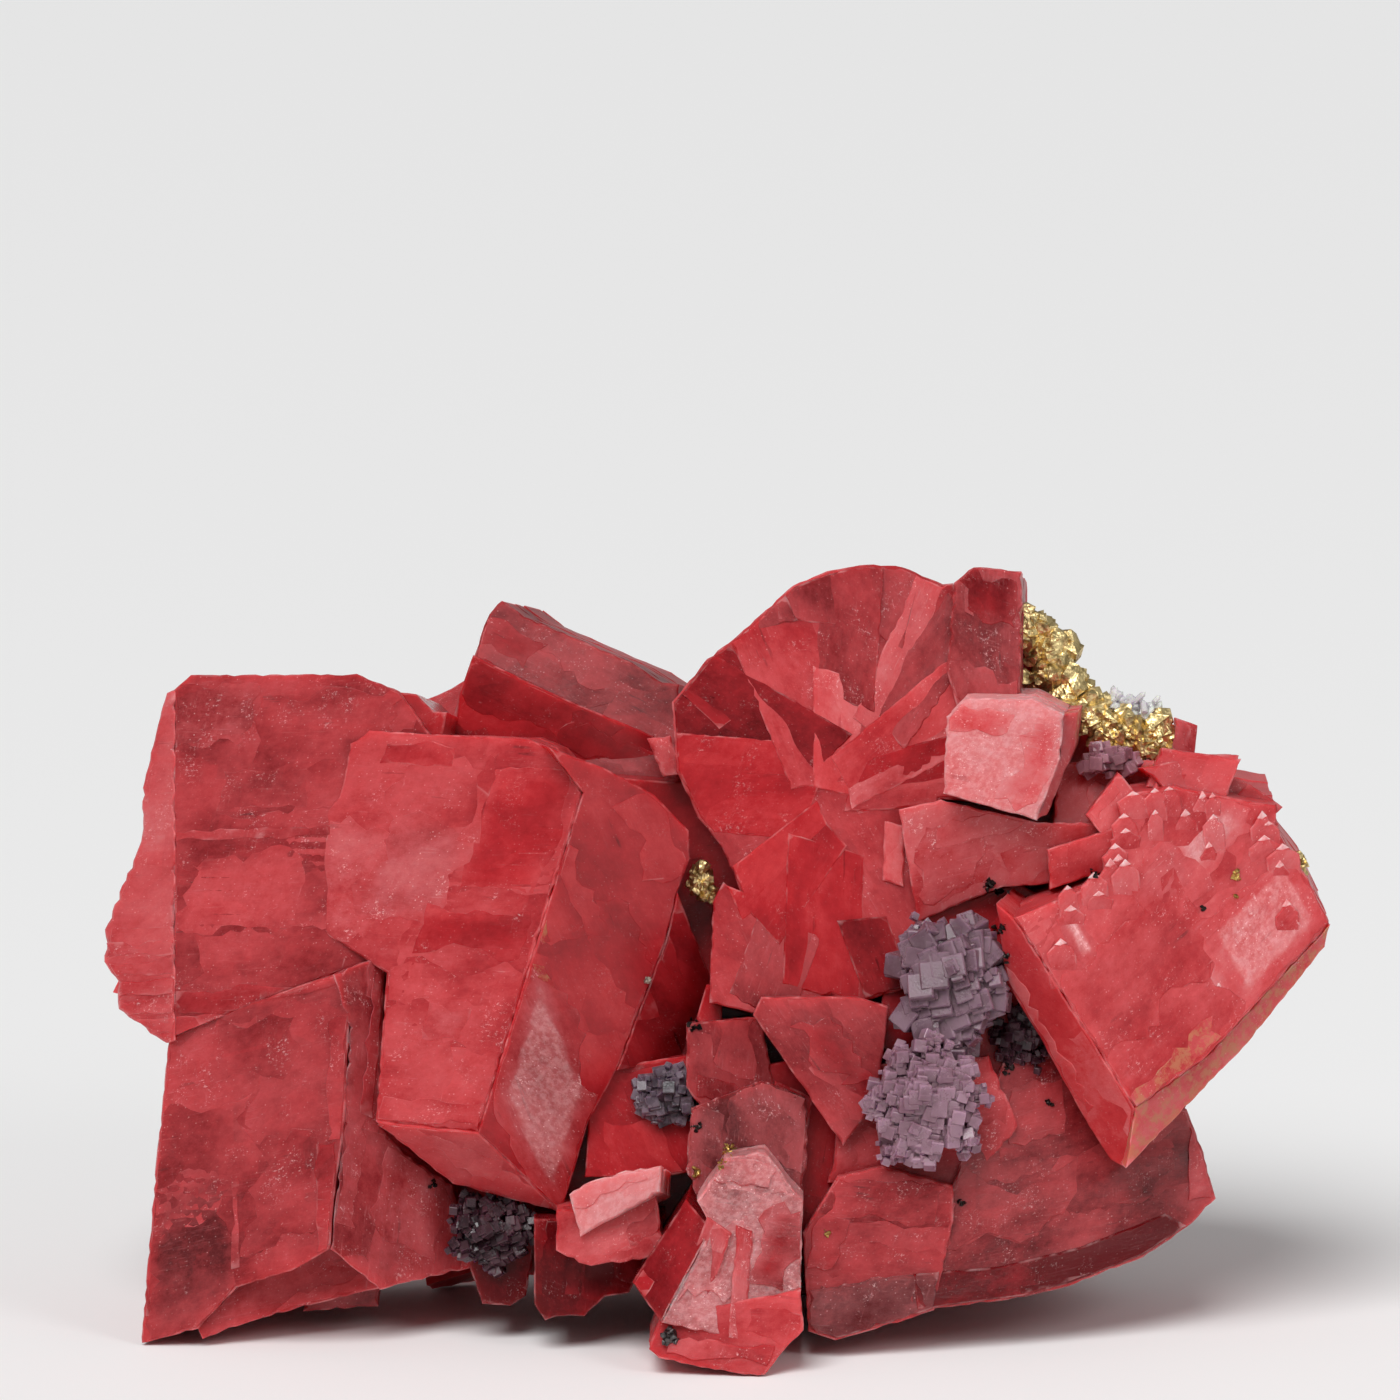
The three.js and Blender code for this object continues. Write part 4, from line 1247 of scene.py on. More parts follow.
    def right_rhomb(self) -> list[Slab]:
        """Crystals of the rhomb on the right and what stands behind it."""
        corner, back = (29.2, 44.8), (4.0, 22.0, 3.0)
        return [
            Slab(
                "right rhomb front",
                [(29.2, 44.8), (36.2, 47.6), (38.4, 49), (39.4, 52.7), (41, 57), (45.2, 57.7), (53.2, 56.1),
                 (55.4, 55.8), (55.4, 53.8), (56.7, 51), (58.6, 48.5), (60.8, 44), (48.5, 31.1),
                 (41.2, 26)],
                corner, -21, (0.28, 0.1), (0, 22, 3), Look.SATIN, 0.6, 43, 6,
            ),
            Slab(
                "right rhomb side",
                [(29.2, 44.8), (27.5, 46.2), (28.6, 38.4), (32, 32.7), (36.5, 24.6), (39, 20.7), (40.4, 20),
                 (41.2, 26)],
                corner, -21, (-1.1, -0.78), back, Look.GEM, 0.74, -57, 2,
            ),
            Slab(
                "right rhomb stained edge",
                [(41.2, 26), (40.4, 20), (52.2, 31.8), (60.3, 41.7), (60.8, 44), (48.5, 31.1)],
                (41.2, 26), -19.5, (0.9, -0.58), (-3, 20, 3), Look.STAINED, 0.7, 43, 2,
            ),
            Slab(
                "shoulder",
                [(34, 60), (43.4, 60.3), (51.6, 58.6), (54.7, 56.9), (56.4, 52.4), (58.6, 49), (38.4, 46),
                 (33.4, 54)],
                (45, 55), -9, (0.1, 0.3), (-1, 18, 0), Look.FROSTED, 0.66, 20, 5,
            ),
            Slab(
                "shoulder wedge",
                [(48.3, 60.8), (51.9, 60.8), (50.5, 56.1), (45.2, 56.7), (42, 59.5)],
                (48, 59), -13, (0.3, 0.2), (-1, 14, 0), Look.SATIN, 0.55, 0, 1,
            ),
            Slab(
                "bed of the crust",
                [(27, 76), (30.2, 73), (32.6, 68.5), (35.6, 64), (41, 61), (45, 59), (40, 52), (26, 56)],
                (34, 66), -2, (0, 0), (-2, 14, -1), Look.FROSTED, 0.6, 60, 2,
            ),
        ]

    def lower_blocks(self) -> list[Slab]:
        """Blocks below the middle and along the lower right, down to the foot."""
        return [
            Slab(
                "lower right mass",
                [(46.8, 25.5), (48.5, 21.2), (49.7, 16.6), (46.9, 13.8), (42.4, 10.9), (35, 8.2),
                 (30.4, 7.1),
                 (19.7, 5.9), (18.9, 7.2), (22.9, 17.2), (24.4, 21.2), (28.4, 30.2), (34.4, 31.2),
                 (38.4, 28.2)],
                (30, 15), -13, (0.3, 0.12), (-2, 24, 3.4), Look.SATIN, 0.22, 12, 8,
            ),
            Slab(
                "dark foot of the mass",
                [(19.8, 6.1), (30.3, 7.3), (34.9, 8.4), (42.2, 11.1), (46.7, 14), (44.6, 15.2), (36, 12),
                 (28, 10.2), (19.4, 9.6)],
                (30, 15), -13.3, (0.3, 0.12), (-2, 20, 3.4), Look.GEM, 0.0, 12, 2,
            ),
            Slab(
                "dark foot of the block",
                [(9.1, 4.2), (11.8, 3.3), (17.8, 5), (21.4, 6.2), (22, 9.8), (16, 9.4), (9.2, 8)],
                (16, 12), -17.3, (0.1, 0.05), (1, 18, 2), Look.ROUGH, 0.02, -4, 1,
            ),
            Slab(
                "block right of the foot",
                [(8.5, 13.7), (11.9, 19.2), (16.4, 20.2), (23.4, 18.2), (23.4, 14.7), (21.5, 6),
                 (17.9, 4.8),
                 (11.7, 3.1), (9, 4)],
                (16, 12), -17, (0.1, 0.05), (1, 20, 2), Look.SATIN, 0.28, -4, 4,
            ),
            Slab(
                "pointed rhomb",
                [(3.6, 35.2), (12.5, 22.2), (14.8, 25.2), (16, 27), (17, 36), (13.8, 37), (4.4, 37)],
                (10, 30), -18, (0.2, -0.1), (0, 16, 0), Look.SATIN, 0.3, -55, 3,
            ),
            Slab(
                "seat of the fluorite",
                [(13, 30), (27, 31), (30, 24), (24, 17), (11, 18.5)],
                (20, 24), -14, (0.1, 0), (0, 18, 0), Look.ROUGH, 0.42, 10, 2,
            ),
            Slab(
                "neck top",
                [(-3, 34.2), (4.5, 35), (6, 27), (4.5, 25), (-1, 25.1), (-3, 28)],
                (0, 30), -14, (0.2, 0), (0, 20, 0), Look.SATIN, 0.26, 84, 2,
            ),
            Slab(
                "neck",
                [(-2.6, 26), (4.5, 28.8), (9, 27), (9.1, 22), (8.6, 17), (-1.9, 17), (-3, 20)],
                (3, 22), -17, (0.25, 0), (0, 20, 0), Look.ROUGH, 0.12, 85, 3,
            ),
            Slab(
                "foot front",
                [(-0.5, 14.4), (-1.9, 17.1), (0.8, 21.3), (4.8, 21.9), (8.6, 17.1), (8.3, 8.5), (4, 3.1),
                 (-5.4, 5.3)],
                (2, 12), -24, (0.25, 0.15), (0, 20, 2), Look.DUSTY, 0.3, -10, 5,
            ),
            Slab(
                "foot dark side",
                [(-8.3, 9), (-3, 17.1), (-0.5, 14.4), (-5.4, 5.3)],
                (-0.5, 14.4), -24.3, (-0.9, 0.77), (1, 18, 2), Look.GEM, 0.24, 60, 1,
            ),
            Slab(
                "foot slab",
                [(-6.7, 2.6), (-5.6, 1.8), (-0.8, 0.7), (4, 0), (4.8, 0.2), (7.5, 3.4), (8.6, 4.5),
                 (8.3, 8.5),
                 (-5.4, 6)],
                (0, 0), -26, (0, 0.1), (0, 20, 1.5), Look.SATIN, 0.55, -6, 1,
            ),
            Slab(
                "small pale rhomb",
                [(-14.5, 17.6), (-13.1, 18.7), (-8.9, 20), (-5.4, 20.5), (-5.5, 17.9), (-9.4, 15.7),
                 (-13.4, 13.4)],
                (-10, 17), -20.5, (-0.1, -0.2), (1, 10, -1), Look.DUSTY, 0.95, 25, 2,
            ),
            Slab(
                "bed of the small rhomb",
                [(-15.8, 16), (-8, 17), (-6, 18), (-5, 12), (-7.5, 11), (-13, 10.4), (-15.8, 12)],
                (-10, 14), -18.5, (0, 0.1), (0, 14, 1), Look.ROUGH, 0.5, 30, 2,
            ),
            Slab(
                "striated blades",
                [(-18, 15), (-5, 15), (-8.6, 7.5), (-11, 7.2), (-13, 5.3), (-15.8, 5.3), (-16.9, 4.9),
                 (-18, 6.6)],
                (-12, 9), -14, (0.3, 0), (0, 16, 2), Look.GEM, 0.06, 88, 3,
            ),
            Slab(
                "low blade",
                [(-24.4, 12), (-17.8, 14), (-18.8, 7.1), (-20.4, 6.1), (-23.2, 6.3), (-24.4, 9.8)],
                (-20, 9), -10, (0.1, 0), (0, 14, 2), Look.GEM, 0.12, 80, 1,
            ),
            Slab(
                "wall left of the neck",
                [(-12.6, 26), (-9.8, 30), (-3, 31), (-1, 38), (0.6, 38), (0.6, 20), (-5, 19), (-13, 19)],
                (-6, 28), -11, (0.15, 0.05), (0, 8, 0), Look.GEM, 0.4, -68, 2,
            ),
            Slab(
                "wall right of the neck",
                [(4.6, 30), (9, 31), (15, 24), (15, 12), (8, 12)],
                (9, 22), -12.5, (0.15, 0.05), (0, 8, 0), Look.GEM, 0.3, 80, 2,
            ),
            Slab(
                "wall over the fluorite",
                [(17, 44), (30, 48), (34, 46), (33, 30), (24, 28), (16, 32)],
                (26, 40), -10.5, (0.1, 0.05), (0, 8, 0), Look.GEM, 0.3, 30, 1,
            ),
            Slab(
                "core",
                [(-30, 60), (-4, 58), (2, 58), (30, 60), (48, 52), (52, 36), (44, 20), (24, 10), (8, 8),
                 (-22, 9),
                 (-40, 14), (-50, 30), (-48, 50)],
                (0, 30), -5, (0, 0), (0, 23, 3), Look.GEM, 0.3, 10, 0, 1.5,
            ),
        ]

    def small_crystals(self) -> list[Slab]:
        """Small crystals and broken blocks that stand on or between the large ones."""
        blocks = (
            # name, middle, length and width, grain, depth, tilt, finish, tone
            ("crystal under the blade", (-4.9, 60.6), (4.2, 2.4), 112, -9.5, (0, -0.1), Look.FROSTED, 0.62),
            ("bulge under the ledge", (-37.2, 6.8), (7.6, 2.6), 4, -5, (0, -0.3), Look.ROUGH, 0.2),
            ("wedge plate", (47.2, 59), (8, 4.2), -8, -13.5, (0.05, 0.1), Look.SATIN, 0.6),
            ("block behind the wedge", (53.2, 55.6), (4.2, 3.6), -35, -10, (0.1, 0.1), Look.SATIN, 0.42),
            ("dusty block", (46.6, 62.2), (3.8, 2.4), 84, -6, (0, 0), Look.FROSTED, 0.4),
            ("stepped block", (39.2, 55.6), (5.4, 3.6), 52, -16, (0.1, 0.2), Look.SATIN, 0.62),
            ("second stepped block", (43.2, 55.4), (3.8, 3), 52, -15.5, (0.1, 0.2), Look.SATIN, 0.56),
            ("third stepped block", (50.4, 53.6), (4.4, 3.4), 48, -13.6, (0.1, 0.2), Look.SATIN, 0.6),
            ("ledge of the arm", (36.2, 50.6), (7.2, 4), 18, -16.4, (0.05, -0.2), Look.SATIN, 0.58),
            ("sliver between the blocks", (22.6, 13.8), (6, 1.5), 84, -15.6, (0.2, 0), Look.FROSTED, 0.46),
            ("recess slab", (7.2, 24.8), (6, 4.2), 80, -13.5, (0.1, 0), Look.GEM, 0.34),
            ("shard at the fan's middle", (17.6, 51), (6, 2.2), 88, -11.6, (0.04, 0.02), Look.SATIN, 0.8),
            ("foot ridge", (2.4, 9), (11, 1.8), 86, -24.8, (0.3, 0.14), Look.FROSTED, 0.5),
            ("foot shoulder", (-1.2, 10.6), (9, 3), 70, -24.9, (-0.3, 0.15), Look.FROSTED, 0.44),
        )
        made = []
        for name, middle, size, grain, depth, tilt, look, tone in blocks:
            outline = [tuple(corner) for corner in cleavage(middle, size, grain)]
            made.append(Slab(name, outline, middle, depth, tilt, (0, 5, 0), look, tone, grain, 1))
        return made

    def teeth(self, face: Slab, rng: np.random.Generator) -> list[Slab]:
        """Rows of white-tipped growth teeth below the top edge of the right-hand rhomb.

        Args:
            face: The rhomb's front face.
            rng: Source of their sizes and gaps.

        Returns:
            The teeth, each with its cap.
        """
        made = []
        crest = np.array([(33.5, 47.5), (38.6, 50), (40.8, 57.2), (45.2, 57.8), (53.4, 56.2), (56.4, 51.4)])
        for drop, count in ((0.3, 13), (2.4, 9), (5.2, 4)):
            for step in np.linspace(0.04, 0.96, count) + rng.normal(0, 0.02, count):
                share = min(max(float(step), 0.0), 0.999) * (len(crest) - 1)
                i = int(share)
                x, z = crest[i] + (crest[i + 1] - crest[i]) * (share - i) - (0, drop)
                wide, high = rng.uniform(1.6, 3.4), rng.uniform(2.4, 4.6)
                tip = np.array([x, z + 0.3])
                left, right = tip + (-0.5 * wide, -0.42 * high), tip + (0.5 * wide, -0.3 * high)
                foot = (0.15 * wide, -high)
                depth = float(face.depth_at(tip)) - rng.uniform(0.5, 1.0)
                body = [tuple(spot) for spot in (tip, left, left + foot, right + foot, right)]
                low = tip + (0.0, -0.2 * high)
                sides = (tip + (left - tip) * CAP_SHARE, low, tip + (right - tip) * CAP_SHARE)
                cap = [tuple(spot) for spot in (tip, *sides)]
                lean = (face.tilt[0], face.tilt[1] - TOOTH_LEAN)
                made.append(Slab("tooth", body, tuple(tip), depth, lean, (0, 2, 0), Look.FROSTED, 0.64, 43))
                proud = depth - 0.12
                made.append(Slab("tooth cap", cap, tuple(tip), proud, lean, (0, 1, 0), Look.CAPPED, 0.95, 43))
        return made

    def panes(self) -> dict[str, list[tuple[float, float, float, float, float, Look, float]]]:
        """The thin panes of each face: shares across and up, length, width, tone, finish and lift."""
        gem, satin, frosted, rough, dusty = Look.GEM, Look.SATIN, Look.FROSTED, Look.ROUGH, Look.DUSTY
        strips = ((0.1, gem), (0.5, satin), (0.2, gem), (0.6, satin), (0.4, rough))
        return {
            "back plate": [
                (0.08, 0.88, 9, 6, 0.5, frosted, 0.06), (0.22, 0.68, 9, 4, 0.32, satin, 0.05),
                (0.36, 0.84, 14, 8, 0.36, satin, 0.05), (0.2, 0.56, 17, 1, 0.64, satin, 0.1),
                (0.16, 0.4, 12, 7, 0.6, satin, 0.04), (0.14, 0.1, 13, 2.2, 0.34, gem, 0.1),
                (0.1, 0.03, 12, 2, 0.06, gem, 0.08),
            ],
            "left-hand edge": [
                (0.5, 0.05 + 0.055 * i, 9, 1.5, tone, look, 0.1 + 0.05 * (i % 3))
                for i, (tone, look) in enumerate(strips)
            ],
            "front plate": [
                (0.14, 0.62, 7, 12, 0.66, frosted, 0.05),
                (0.4, 0.94, 7, 2, 0.36, gem, 0.05), (0.75, 0.75, 8, 13, 0.46, gem, 0.04),
                (0.63, 0.84, 1.5, 9, 0.4, satin, 0.08), (0.38, 0.65, 9, 10, 0.42, frosted, 0.06),
                (0.6, 0.5, 10, 4.5, 0.4, gem, 0.07), (0.5, 0.27, 4, 3.5, 0.6, frosted, 0.1),
                (0.48, 0.36, 11, 3.5, 0.54, satin, 0.06), (0.48, 0.05, 12, 2.4, 0.66, satin, 0.08),
            ],
            "right-hand face": [
                (0.42, 0.75, 15, 2, 0.6, satin, 0.06), (0.82, 0.8, 8, 5, 0.36, gem, 0.08),
                (0.2, 0.82, 9, 2, 0.66, dusty, 0.06), (0.3, 0.62, 4, 1.4, 0.7, Look.STAINED, 0.05),
                (0.32, 0.5, 4, 1.6, 0.6, Look.STAINED, 0.05),
                (0.3, 0.28, 24, 10, 0.42, dusty, 0.09), (0.74, 0.52, 14, 4, 0.4, gem, 0.05),
            ],
            "deep side face": [(0.5, 0.7, 8, 1.6, 0.4, gem, 0.1)],
            "under face": [(0.35, 0.7, 12, 2.2, 0.56, satin, 0.1), (0.75, 0.25, 8, 2, 0.36, gem, 0.06)],
            "lower left front": [
                (0.45, 0.95, 24, 3, 0.6, satin, 0.12), (0.25, 0.24, 9, 15, 0.02, satin, 0.06),
                (0.66, 0.42, 8, 11, 0.32, satin, 0.05), (0.94, 0.72, 2.4, 12, 0.56, satin, 0.1),
                (0.88, 0.4, 2, 11, 0.5, gem, 0.12), (0.45, 0.33, 0.9, 9, 0.66, frosted, 0.1),
                (0.4, 0.78, 15, 5, 0.42, satin, 0.04),
            ],
            "lower left side": [(0.3, 0.75, 15, 1.3, 0.2, gem, 0.2), (0.55, 0.25, 10, 6, 0.5, frosted, 0.1)],
            "blade top": [(0.2, 0.85, 10, 3, 0.2, gem, 0.08)],
            "blade face": [(0.3, 0.8, 13, 4, 0.32, gem, 0.06), (0.7, 0.55, 10, 3, 0.14, gem, 0.1)],
            "fan top block": [(0.5, 0.2, 4, 8, 0.56, rough, 0.1), (0.55, 0.8, 5, 6, 0.18, gem, 0.08)],
            "fan arm": [
                (0.4, 0.8, 10, 2, 0.3, gem, 0.12), (0.65, 0.5, 7, 2.8, 0.7, frosted, 0.1),
                (0.25, 0.42, 6, 5, 0.44, rough, 0.1),
            ],
            "pale rhomb front": [
                (0.3, 0.8, 6, 3, 0.98, frosted, 0.1), (0.78, 0.5, 4, 9, 0.78, frosted, 0.08),
            ],
            "right rhomb front": [
                (0.36, 0.4, 18, 9, 0.4, satin, 0.12), (0.3, 0.42, 7, 5, 0.28, gem, 0.16),
                (0.88, 0.62, 19, 10, 1.0, dusty, 0.14), (0.2, 0.54, 3, 6.4, 0.9, Look.CHALKY, 0.05),
                (0.5, 0.12, 12, 2, 0.56, Look.STAINED, 0.1), (0.47, 0.7, 7, 6, 0.56, frosted, 0.12),
                (0.62, 0.84, 9, 5, 0.8, dusty, 0.08),
            ],
            "right rhomb side": [(0.62, 0.5, 18, 2.2, 0.2, gem, 0.12), (0.35, 0.5, 18, 1.3, 0.7, satin, 0.1)],
            "shoulder": [(0.3, 0.7, 8, 6, 0.72, frosted, 0.1)],
            "lower right mass": [
                (0.95, 0.6, 2.4, 9, 0.9, dusty, 0.2),
                (0.42, 0.78, 6, 6, 0.32, satin, 0.16), (0.42, 0.06, 28, 6, 0.0, gem, 0.08),
                (0.4, 0.5, 14, 6, 0.36, satin, 0.12),
            ],
            "block right of the foot": [
                (0.15, 0.55, 3, 5, 0.56, satin, 0.16), (0.55, 0.8, 11, 4, 0.28, satin, 0.12),
                (0.5, 0.16, 12, 4, 0.0, rough, 0.14),
            ],
            "pointed rhomb": [(0.6, 0.62, 8, 4, 0.28, gem, 0.1)],
            "neck top": [(0.5, 0.18, 2, 7, 0.2, gem, 0.16)],
            "foot front": [
                (0.4, 0.4, 5, 8, 0.52, dusty, 0.25), (0.82, 0.5, 4, 8, 0.2, gem, 0.2),
                (0.55, 0.9, 7, 2.6, 0.62, dusty, 0.3),
            ],
            "foot slab": [(0.45, 0.3, 10, 1.8, 0.62, dusty, 0.2)],
            "small pale rhomb": [(0.4, 0.75, 8, 2, 0.98, frosted, 0.2)],
        }

    def back_rhombs(self) -> list[tuple[Point3, Point3, Point3]]:
        """Centre, size and turn of the rhombs that finish the back."""
        return [
            ((-41, 9, 47), (22, 18, 24), (6, 10, -6)),
            ((-16, 12, 42), (22, 18, 26), (-9, -12, 8)),
            ((9, 9, 57), (19, 20, 24), (10, 8, 12)),
            ((36, 9, 42), (22, 18, 20), (-6, 14, 8)),
            ((-38, 10, 20), (20, 20, 17), (-4, 9, 6)),
            ((20, 13, 17.5), (24, 20, 20), (-7, -8, -5)),
            ((-12, 15, 20), (16, 14, 16), (14, 22, 9)),
            ((4, 18, 36), (12, 11, 14), (-18, 26, 12)),
            ((-28, 19, 33), (12, 10, 13), (20, -16, -8)),
            ((25, 18, 36), (10, 9, 12), (-12, -24, 18)),
            ((-44, 17, 38), (10, 9, 10), (16, 20, 14)),
            ((20, 14, 68), (9, 9, 12), (12, -14, -20)),
        ]

    def back_grains(self, core: np.ndarray) -> list[tuple[Point3, Point3, Point3]]:
        """Centre, size and turn of the small rhombs that stand between them.

        Args:
            core: Outline of the core, which they stand on.

        Returns:
            One row for each rhomb.
        """
        rng = np.random.default_rng(self.seed + 1)
        low, high = core.min(axis=0), core.max(axis=0)
        made = []
        for i in range(BACK_GRAINS):
            x, z = low + (high - low) * np.array((i * GOLDEN % 1, (i + 0.5) / BACK_GRAINS))
            at = (float(x), float(rng.uniform(*self.small_depth)), float(z) + 2)
            size = tuple(rng.uniform(*self.small_size, 3))
            turn = tuple(rng.uniform(-self.small_turn, self.small_turn, 3))
            if inside(np.array([(x, z)]), core)[0]:
                made.append((at, size, turn))
        return made

    def build(self) -> bpy.types.Object:
        """Build the joined mass and dress it.

        Returns:
            The finished piece.
        """
        rng = np.random.default_rng(self.seed)
        self.slabs = [
            *self.great_rhomb(), *self.lower_left(), *self.blade(), *self.fan(), *self.pale_rhomb(),
            *self.right_rhomb(), *self.lower_blocks(), *self.small_crystals(),
        ]
        broad = {slab.name: slab for slab in self.slabs}
        self.slabs.extend(self.blades(broad["fan"]))
        self.slabs.extend(self.teeth(broad["right rhomb front"], rng))
        for slab in list(self.slabs):
            self.slabs.extend(slab.growth_plates(rng))
        for name, panes in self.panes().items():
            for across, up, length, width, tone, look, lift in panes:
                self.slabs.extend(broad[name].pane((across, up), (length, width), tone, look, lift))
        shells = [slab.shell(rng, crystal) for crystal, slab in enumerate(self.slabs)]
        behind = [*self.back_rhombs(), *self.back_grains(np.array(broad["core"].outline))]
        for i, (at, size, turn) in enumerate(behind):
            shells.append(rhomb(at, size, turn, len(self.slabs) + i, rng))
        mesh = united("rhodochrosite", shells)
        self.mark(mesh, rng)
        self.surface = Surface.of(mesh)
        mesh.transform(growth_matrix())
        stand_on_floor(mesh)
        return shown("rhodochrosite_mass", mesh, self.finish.material(), ["rhodochrosite_crystals"])

    def mark(self, mesh: bpy.types.Mesh, rng: np.random.Generator) -> None:
        """Store growth coordinates and finish values on the joined mesh.

        Args:
            mesh: The joined mesh, in the growth frame.
            rng: Source of each crystal's own place in the patterns.
        """
        points = positions(mesh)
        owner = crystal_owner(mesh)
        corners = np.empty(len(mesh.loops), dtype=np.int32)
        mesh.loops.foreach_get("vertex_index", corners)
        sizes = np.empty(len(mesh.polygons), dtype=np.int32)
        mesh.polygons.foreach_get("loop_total", sizes)
        corner_owner = np.repeat(owner, sizes)
        grain = points[corners].copy()
        rim = np.full(len(corners), 5.0)
        tone, frost = np.full(len(corners), 0.42), np.full(len(corners), 0.4)
        gloss, stain = np.full(len(owner), 0.4), np.zeros(len(owner))
        for crystal, slab in enumerate(self.slabs):
            mine = corner_owner == crystal
            if not mine.any():
                continue
            grain[mine] = slab.grain_of(points[corners[mine]]) + rng.uniform(-90, 90, 3)
            rim[mine] = slab.rim_of(points[corners[mine]])
            faces = owner == crystal
            gloss[faces], stain[faces] = slab.habit.gloss, slab.habit.stain
            under = slab.ground or slab
            own = np.clip(rim[mine] / PANE_FADE, 0.2, 1) if slab.ground else 1.0
            tone[mine] = under.tone + (slab.tone - under.tone) * own
            frost[mine] = under.habit.frost + (slab.habit.frost - under.habit.frost) * own
            if slab.ground:
                rim[mine] += 0.1
        back = corner_owner >= len(self.slabs)
        least, most = self.back_tone
        tone[back] = least + (most - least) * np.modf(corner_owner[back] * GOLDEN)[0]
        for name, values in (("grain", grain), ("rim", rim), ("tone", tone), ("frost", frost)):
            add_value(mesh, name, "CORNER", values)
        for name, values in (("gloss", gloss), ("stain", stain)):
            add_value(mesh, name, "FACE", values)


@dataclass(frozen=True)
class Surface:
    """The red mass's surface in the growth frame, for setting grains on it.

    Attributes:
        tree: Search tree of its faces.
    """

    tree: BVHTree

    @classmethod
    def of(cls, mesh: bpy.types.Mesh) -> "Surface":
        """Index a mesh's faces."""
        faces = [tuple(face.vertices) for face in mesh.polygons]
        return cls(BVHTree.FromPolygons(positions(mesh).tolist(), faces))

    def front_at(self, x: float, z: float) -> float:
        """Depth y of the foremost surface at a place, in mm."""
        hit = self.tree.ray_cast(Vector((x, -80, z)), Vector((0, 1, 0)))[0]
        return hit.y if hit else 0.0


def stand_on_floor(mesh: bpy.types.Mesh) -> None:
    """Press what is below the floor's level flat, as broken feet are.

    Args:
        mesh: A mesh in world metres.
    """
    floor = CAD_BOUNDS[0][2]
    flat = positions(mesh)
    flat[:, 2] = np.maximum(flat[:, 2], floor)
    mesh.vertices.foreach_set("co", flat.ravel())
    mesh.update()


# ------------------------------------------------------------------ the other minerals


class NodeFront:
    """The side of a CAD node that faces the viewer, which its grains stand on.

    Attributes:
        corners: Corners of the node [x, y, z] in the growth frame, in mm.
        faces: Its faces, as numbers of corners.
        low: Its lowest corner.
        high: Its highest corner.
    """

    def __init__(self, node: str) -> None:
        """Read the node from the frame.

        Args:
            node: Name of the CAD node.
        """
        mesh = bpy.data.objects[node].data
        to_growth = growth_matrix().inverted()
        places = np.array([tuple(to_growth @ corner.co) for corner in mesh.vertices])
        self.corners, number = np.unique(np.round(places, 4), axis=0, return_inverse=True)
        number = number.reshape(-1)
        self.faces = [tuple(int(number[i]) for i in face.vertices) for face in mesh.polygons]
        self.low, self.high = self.corners.min(axis=0), self.corners.max(axis=0)
        self.tree = BVHTree.FromPolygons([tuple(corner) for corner in self.corners], self.faces)

    def spot(self, rng: np.random.Generator) -> Vector:
        """A point drawn at random on the front."""
        while True:
            x, _, z = self.low + (self.high - self.low) * rng.random(3)
            hit = self.tree.ray_cast(Vector((x, self.low[1] - 1, z)), Vector((0, 1, 0)))[0]
            if hit is not None:
                return hit

    def outness(self, spot: Vector) -> float:
        """How far out a spot lies: 0 in the node's middle and 1 at its farthest edge."""
        middle, half = (self.low + self.high) / 2, (self.high - self.low) / 2
        off = math.hypot(spot.x - middle[0], spot.z - middle[2])
        return min(1.0, off / float(max(half[0], half[2])))

    def bed(self, share: float, sunk: float, crystal: int) -> Shell:
        """The solid ground under the grains: the node, a little smaller and set back.

        Args:
            share: Its size as a share of the node's.
            sunk: How far it is set back, in mm.
            crystal: Number that its faces carry.

        Returns:
            The closed shell.
        """
        middle = (self.low + self.high) / 2
        points = middle + (self.corners - middle) * share + np.array((0.0, sunk, 0.0))
        return Shell(points, self.faces, crystal)


@dataclass(frozen=True)
class CubeCluster:
    """A druse of fluorite cubes spread over the front of its CAD node.

    Attributes:
        node: The CAD node that it stands for.
        cubes: How many cubes it has.
        size: Smallest and largest edge of a cube, in mm.
        finish: Its finish.
        seed: Start of its random draws.
    """

    node: str
    cubes: int
    size: Point2
    finish: FluoriteFinish
    seed: int

    def build(self) -> bpy.types.Object:
        """Build the joined cubes and dress them.

        Returns:
            The finished piece.
        """
        rng = np.random.default_rng(self.seed)
        front = NodeFront(self.node)
        shells = [front.bed(BED_SHARE, BED_SUNK, self.cubes)]
        leaning = rng.uniform(-0.4, 0.4, 3)
        while len(shells) <= self.cubes:
            spot = front.spot(rng)
            out = front.outness(spot)
            edge = self.size[0] + (self.size[1] - self.size[0]) * (1 - 0.5 * out) * float(rng.random()) ** 2
            depth = spot.y + edge * 0.3 + rng.uniform(0, 0.2)
            turn = leaning + rng.normal(0, 0.08 + 0.35 * out * out, 3)
            shells.append(self.cube((spot.x, depth, spot.z), edge, turn, len(shells) - 1))
        mesh = united(self.node, shells)
        shade_crystals(mesh)
        mesh.transform(growth_matrix())
        return shown(f"{self.node}_druse", mesh, self.finish.material(), [self.node])

    def cube(self, at: Point3, edge: float, angles: np.ndarray, number: int) -> Shell:
        """One cube with slightly blunted edges."""
        blunt = 0.12
        turn = Euler(angles).to_matrix()
        points = []
        for signs in [(a, b, c) for a in (-1, 1) for b in (-1, 1) for c in (-1, 1)]:
            for axis in range(3):
                corner = [sign * 0.5 * edge * (1 if i == axis else 1 - blunt) for i, sign in enumerate(signs)]
                points.append(tuple(Vector(at) + turn @ Vector(corner)))
        hull = convex(np.array(points))
        hull.crystal = number
        return hull


